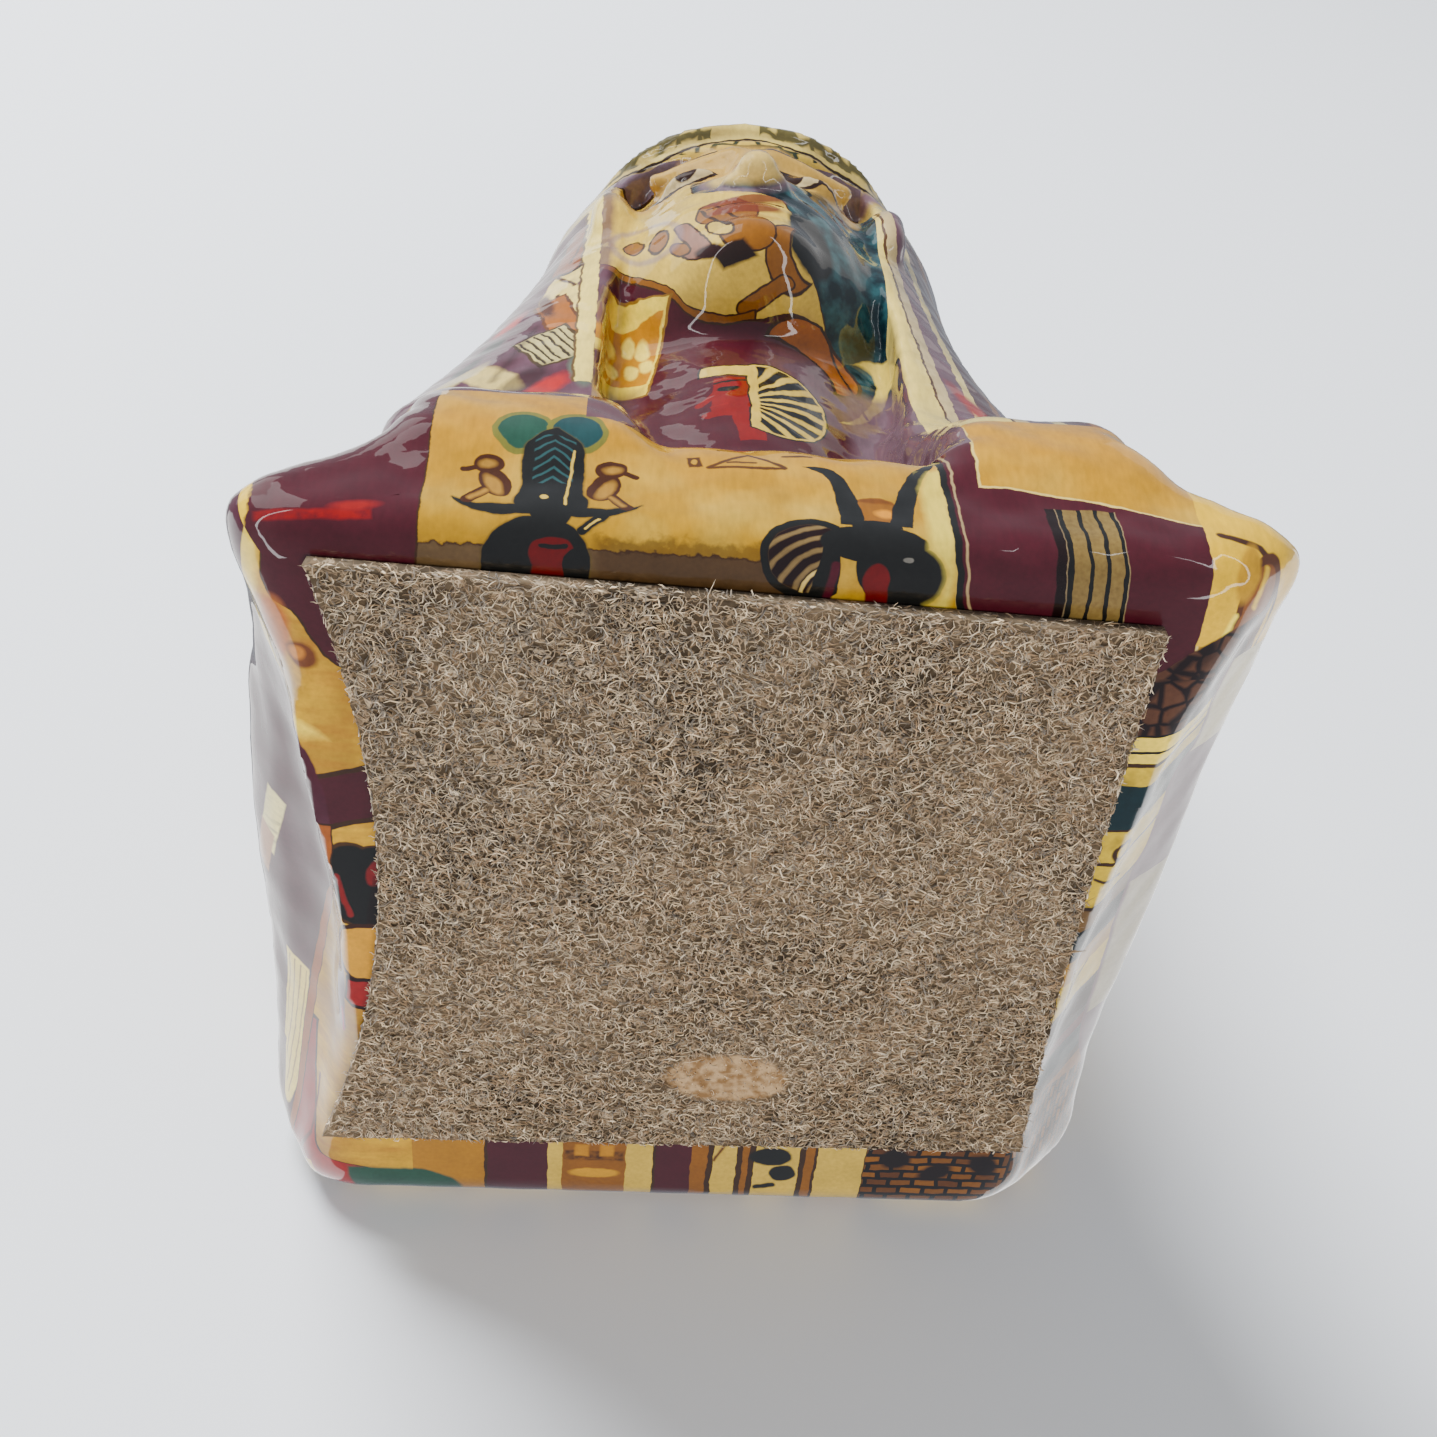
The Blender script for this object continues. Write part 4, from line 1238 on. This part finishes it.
def wool_hairs(name, count, seed, width, lift, pale, stray):
    rng = np.random.default_rng(seed)
    s, t = rng.uniform(0.004, 0.996, count), rng.uniform(0.004, 0.996, count)
    on_rim = rng.random(count) < stray
    loose = on_rim & (rng.random(count) < 0.06)
    edge = rng.integers(0, 4, count)
    hollow = np.arctan2(-2.6 + 4 * FELT_LEFT_BOW * (1 - 2 * t), 67.8)
    outward = np.choose(edge, (math.pi - hollow, 0, -math.pi / 2, math.pi / 2))
    s = np.where(on_rim & (edge < 2), np.where(edge == 0, 0.0, 1.0), s)
    t = np.where(on_rim & (edge > 1), np.where(edge == 2, 0.0, 1.0), t)
    x, y = felt_place(s, t)
    in_glue = ((x - GLUE_SPOT[0]) / GLUE_SPOT[2]) ** 2 + ((y - GLUE_SPOT[1]) / GLUE_SPOT[3]) ** 2 < rng.uniform(0.7, 1.3, count)
    combed = 2.4 * np.sin(0.23 * x + 1.7 * np.sin(0.19 * y + seed)) + 2.0 * np.sin(0.27 * y + seed)
    heading = np.where(loose, outward + rng.normal(0, 0.8, count), combed + rng.normal(0, 1.2, count))
    heading = np.where(on_rim & ~loose, outward + rng.choice((-1, 1), count) * (math.pi / 2 - rng.uniform(-0.1, 0.3, count)), heading)
    curl = rng.choice((-1, 1), count) * np.where(on_rim, rng.uniform(0, 0.5, count), rng.uniform(0.1, 1.9, count))
    length = np.where(on_rim, rng.uniform(0.4, 0.9, count), 0.8 + rng.exponential(0.55, count))
    length = np.where(in_glue & (rng.random(count) < 0.93), 0.02, length)
    z0 = np.where(on_rim, 0.2 + 1.2 * rng.random(count) ** 1.5, rng.uniform(*lift, count))
    start_x, start_y = x, y
    path = []
    for step in range(HAIR_STEPS):
        path.append(np.stack([x, y, z0 + 0.1 * np.sin(1.9 * step + heading)], 1))
        stride = length / (HAIR_STEPS - 1)
        x = x + stride * np.cos(heading)
        y = y + stride * np.sin(heading)
        heading = heading + curl * stride * 1.3 + rng.normal(0, 0.25, count)
    path = np.stack(path, 1)
    shift = np.where(on_rim[:, None], 0, np.stack([start_x, start_y], 1) - path[:, :, :2].mean(1))
    path[:, :, :2] += shift[:, None]
    path[..., 2] = np.clip(path[..., 2], 0.06, FELT_THICK)
    ahead = np.gradient(path, axis=1)
    ahead = ahead / (np.linalg.norm(ahead, axis=2, keepdims=True) + 1e-9)
    sideways = np.cross(ahead, (0, 0, 1.0))
    sideways = sideways / (np.linalg.norm(sideways, axis=2, keepdims=True) + 1e-9)
    over = np.cross(sideways, ahead)
    taper = np.array([0.3, 1, 0.9, 0.15])[None, :, None]
    radius = (rng.uniform(0.45, 1.4, count) * width / 2)[:, None, None] * taper
    rings = []
    for corner in range(HAIR_SIDES):
        turn = 2 * math.pi * corner / HAIR_SIDES + 0.5
        rings.append(path + radius * (math.cos(turn) * sideways + math.sin(turn) * over))
    points = np.stack(rings, 2)
    points[..., 2] = np.maximum(points[..., 2], 0.004)
    per_hair = HAIR_STEPS * HAIR_SIDES
    faces = []
    for step in range(HAIR_STEPS - 1):
        for corner in range(HAIR_SIDES):
            a, b = step * HAIR_SIDES + corner, step * HAIR_SIDES + (corner + 1) % HAIR_SIDES
            faces.append((a, b, b + HAIR_SIDES, a + HAIR_SIDES))
    base = np.arange(count)[:, None, None] * per_hair
    quads = (np.array(faces)[None] + base).reshape(-1, 4)
    last = per_hair - HAIR_SIDES
    ends = (np.array([(2, 1, 0), (last, last + 1, last + 2)])[None] + base).reshape(-1, 3)
    mesh = bpy.data.meshes.new(name)
    mesh.from_pydata((points.reshape(-1, 3) / 1000).tolist(), [], quads.tolist() + ends.tolist())
    mesh.shade_smooth()
    grey_corner = 0.3 + 0.45 * ease(-0.7 * start_x - start_y, 5, 50)
    shade = rng.random(count)
    tint = np.where((shade < grey_corner)[:, None], (0.26, 0.21, 0.155), (0.38, 0.25, 0.135))
    tint = np.where((rng.random(count) < np.where(on_rim, 0.4, pale))[:, None], (0.82, 0.65, 0.43), tint)
    tint = tint * rng.uniform(0.45, 1.4, count)[:, None]
    colours = np.concatenate([np.repeat(tint, per_hair, 0), np.ones((count * per_hair, 1))], 1)
    mesh.color_attributes.new("wool_tint", "FLOAT_COLOR", "POINT").data.foreach_set("color", colours.ravel())
    hairs = bpy.data.objects.new(name, mesh)
    bpy.context.scene.collection.objects.link(hairs)
    mesh.materials.append(hair_material)
    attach(hairs, "root")


hair_material = bpy.data.materials.new("wool_hair")
hair_material.use_nodes = True
nodes, links = hair_material.node_tree.nodes, hair_material.node_tree.links
tint_node = nodes.new("ShaderNodeVertexColor")
tint_node.layer_name = "wool_tint"
along_hair = nodes.new("ShaderNodeTexNoise")
along_hair.inputs["Scale"].default_value = 700
hair_shade = nodes.new("ShaderNodeMixRGB")
hair_shade.blend_type = "OVERLAY"
hair_shade.inputs[0].default_value = 0.5
hair_place = nodes.new("ShaderNodeTexCoord")
links.new(hair_place.outputs["Object"], along_hair.inputs["Vector"])
links.new(tint_node.outputs["Color"], hair_shade.inputs[1])
links.new(along_hair.outputs["Fac"], hair_shade.inputs[2])
hair_shader = nodes["Principled BSDF"]
links.new(hair_shade.outputs[0], hair_shader.inputs["Base Color"])
hair_shader.inputs["Roughness"].default_value = 0.8
hair_shader.inputs["Sheen Weight"].default_value = 0.3
wool_hairs("felt_hairs_deep", 9800, 5, 0.16, (0.2, 0.5), 0.15, 0.03)
wool_hairs("felt_hairs_matted", 9800, 6, 0.11, (0.12, 0.38), 0.35, 0.06)
wool_hairs("felt_hairs_top", 9800, 7, 0.08, (0.06, 0.26), 0.6, 0.09)


# The camera: a phone held close under the plinth while the bust lies on its back, so the
# underside fills the view and the head runs away from it.
CAMERA_PLACE = (-12.08, -115.19, -112.78)
CAMERA_TURN = (38.523, -3.797, 2.588)
CAMERA_LENS = 44.85  # on a 36 mm wide sensor

camera = bpy.data.objects.new("camera", bpy.data.cameras.new("camera"))
bpy.context.scene.collection.objects.link(camera)
camera.data.lens = CAMERA_LENS
camera.data.sensor_width = 36
camera.data.clip_start = 0.01
turn = [math.radians(a) for a in CAMERA_TURN]
axes = Matrix.Rotation(turn[2], 3, "Z") @ Matrix.Rotation(turn[1], 3, "Y") @ Matrix.Rotation(turn[0], 3, "X")
look = Matrix((axes[0], -axes[1], -axes[2])).transposed()
camera.matrix_world = Matrix.Translation(Vector(CAMERA_PLACE) / 1000) @ look.to_4x4()
bpy.context.scene.camera = camera


# The studio: a pale floor under the felt, and a pale board that the bust's back lies against in
# the photograph's view. Each shows only from its front, so that neither hides the bust.
def stage_plane(name, place, turned):
    mesh = bpy.data.meshes.new(name)
    corners = [(-1.5, -1.5, 0), (1.5, -1.5, 0), (1.5, 1.5, 0), (-1.5, 1.5, 0)]
    mesh.from_pydata(corners, [], [(0, 1, 2, 3)])
    plane = bpy.data.objects.new(name, mesh)
    plane.location = place
    plane.rotation_euler = turned
    bpy.context.scene.collection.objects.link(plane)
    material = bpy.data.materials.new(name)
    material.use_nodes = True
    nodes, links = material.node_tree.nodes, material.node_tree.links
    surface = nodes["Principled BSDF"]
    surface.inputs["Base Color"].default_value = (0.8, 0.82, 0.85, 1)
    surface.inputs["Roughness"].default_value = 0.5
    clear = nodes.new("ShaderNodeBsdfTransparent")
    facing = nodes.new("ShaderNodeNewGeometry")
    either = nodes.new("ShaderNodeMixShader")
    links.new(facing.outputs["Backfacing"], either.inputs["Fac"])
    links.new(surface.outputs["BSDF"], either.inputs[1])
    links.new(clear.outputs["BSDF"], either.inputs[2])
    links.new(either.outputs["Shader"], nodes["Material Output"].inputs["Surface"])
    mesh.materials.append(material)
    return plane


floor = stage_plane("floor", (0, 0, -0.0002), (0, 0, 0))
floor.visible_shadow = False
floor.visible_glossy = False
floor.visible_diffuse = False
board = stage_plane("board", (0, 0.0431, 0), (math.radians(90), 0, 0))
board.visible_glossy = board.visible_shadow = False

world = bpy.data.worlds.new("studio")
bpy.context.scene.world = world
world.use_nodes = True
world.node_tree.nodes["Background"].inputs["Color"].default_value = (0.84, 0.9, 1, 1)
world.node_tree.nodes["Background"].inputs["Strength"].default_value = 0.42


def soft_light(name, place, size, watts, colour=(1, 1, 1)):
    light = bpy.data.lights.new(name, "AREA")
    light.shape = "DISK"
    light.size = size
    light.energy = watts
    light.color = colour
    lamp = bpy.data.objects.new(name, light)
    lamp.location = place
    lamp.rotation_mode = "QUATERNION"
    lamp.rotation_quaternion = (Vector((0, 0, 0.05)) - lamp.location).to_track_quat("-Z", "Y")
    lamp.visible_glossy = False
    bpy.context.scene.collection.objects.link(lamp)


soft_light("window", (-0.34, -0.74, 0.5), 0.5, 27, (0.95, 0.97, 1))
soft_light("fill", (0.12, -0.24, -0.85), 0.4, 8, (1, 0.96, 0.9))
soft_light("back", (0.25, 0.6, 0.5), 0.6, 5)


def glow(name, mesh, brightness):
    """A lamp's bright face, seen only where the lacquer reflects it."""
    lamp = bpy.data.objects.new(name, mesh)
    bpy.context.scene.collection.objects.link(lamp)
    lamp.visible_camera = lamp.visible_diffuse = lamp.visible_shadow = False
    material = bpy.data.materials.new(name)
    material.use_nodes = True
    shine = material.node_tree.nodes.new("ShaderNodeEmission")
    shine.inputs["Strength"].default_value = brightness
    out = material.node_tree.nodes["Material Output"]
    material.node_tree.links.new(shine.outputs[0], out.inputs["Surface"])
    mesh.materials.append(material)
    return lamp


def sky_card(name, place, half, brightness):
    mesh = bpy.data.meshes.new(name)
    corners = [(-half, -half, 0), (half, -half, 0), (half, half, 0), (-half, half, 0)]
    mesh.from_pydata(corners, [], [(0, 1, 2, 3)])
    card = glow(name, mesh, brightness)
    card.location = place
    card.rotation_mode = "QUATERNION"
    card.rotation_quaternion = (Vector((0, 0, 0.05)) - card.location).to_track_quat("Z", "Y")


sky_card("sky_left", (-0.46, -0.3, 0.62), 0.22, 1.5)
sky_card("sky_high", (-0.5, -0.72, 0.5), 0.27, 2.4)
sky_card("sky_right", (0.46, -0.12, 0.6), 0.2, 0.8)
sky_card("board_left", (-0.42, 0.34, 0.08), 0.38, 2.6)
sky_card("board_right", (0.42, 0.36, 0.18), 0.34, 2.2)
sky_card("board_far", (-0.26, 0.16, 0.66), 0.18, 1.5)

# two curved tubes left and right of the camera, which the chin and the corners mirror as arcs
tube_mesh = bpy.data.meshes.new("tubes")
tube_points, tube_faces = [], []
for side in (-1, 1):
    for step in range(25):
        rise = -1 + step / 12
        for reach in (0.24, 0.268):
            tube_points.append((side * (reach - 0.11 * rise**2), 0.03 + 0.22 * rise, 0))
    first = 50 * (side > 0)
    for step in range(24):
        a = first + 2 * step
        tube_faces.append((a, a + 1, a + 3, a + 2))
tube_mesh.from_pydata(tube_points, [], tube_faces)
tubes = glow("tubes", tube_mesh, 9)
tubes.matrix_world = camera.matrix_world.copy()
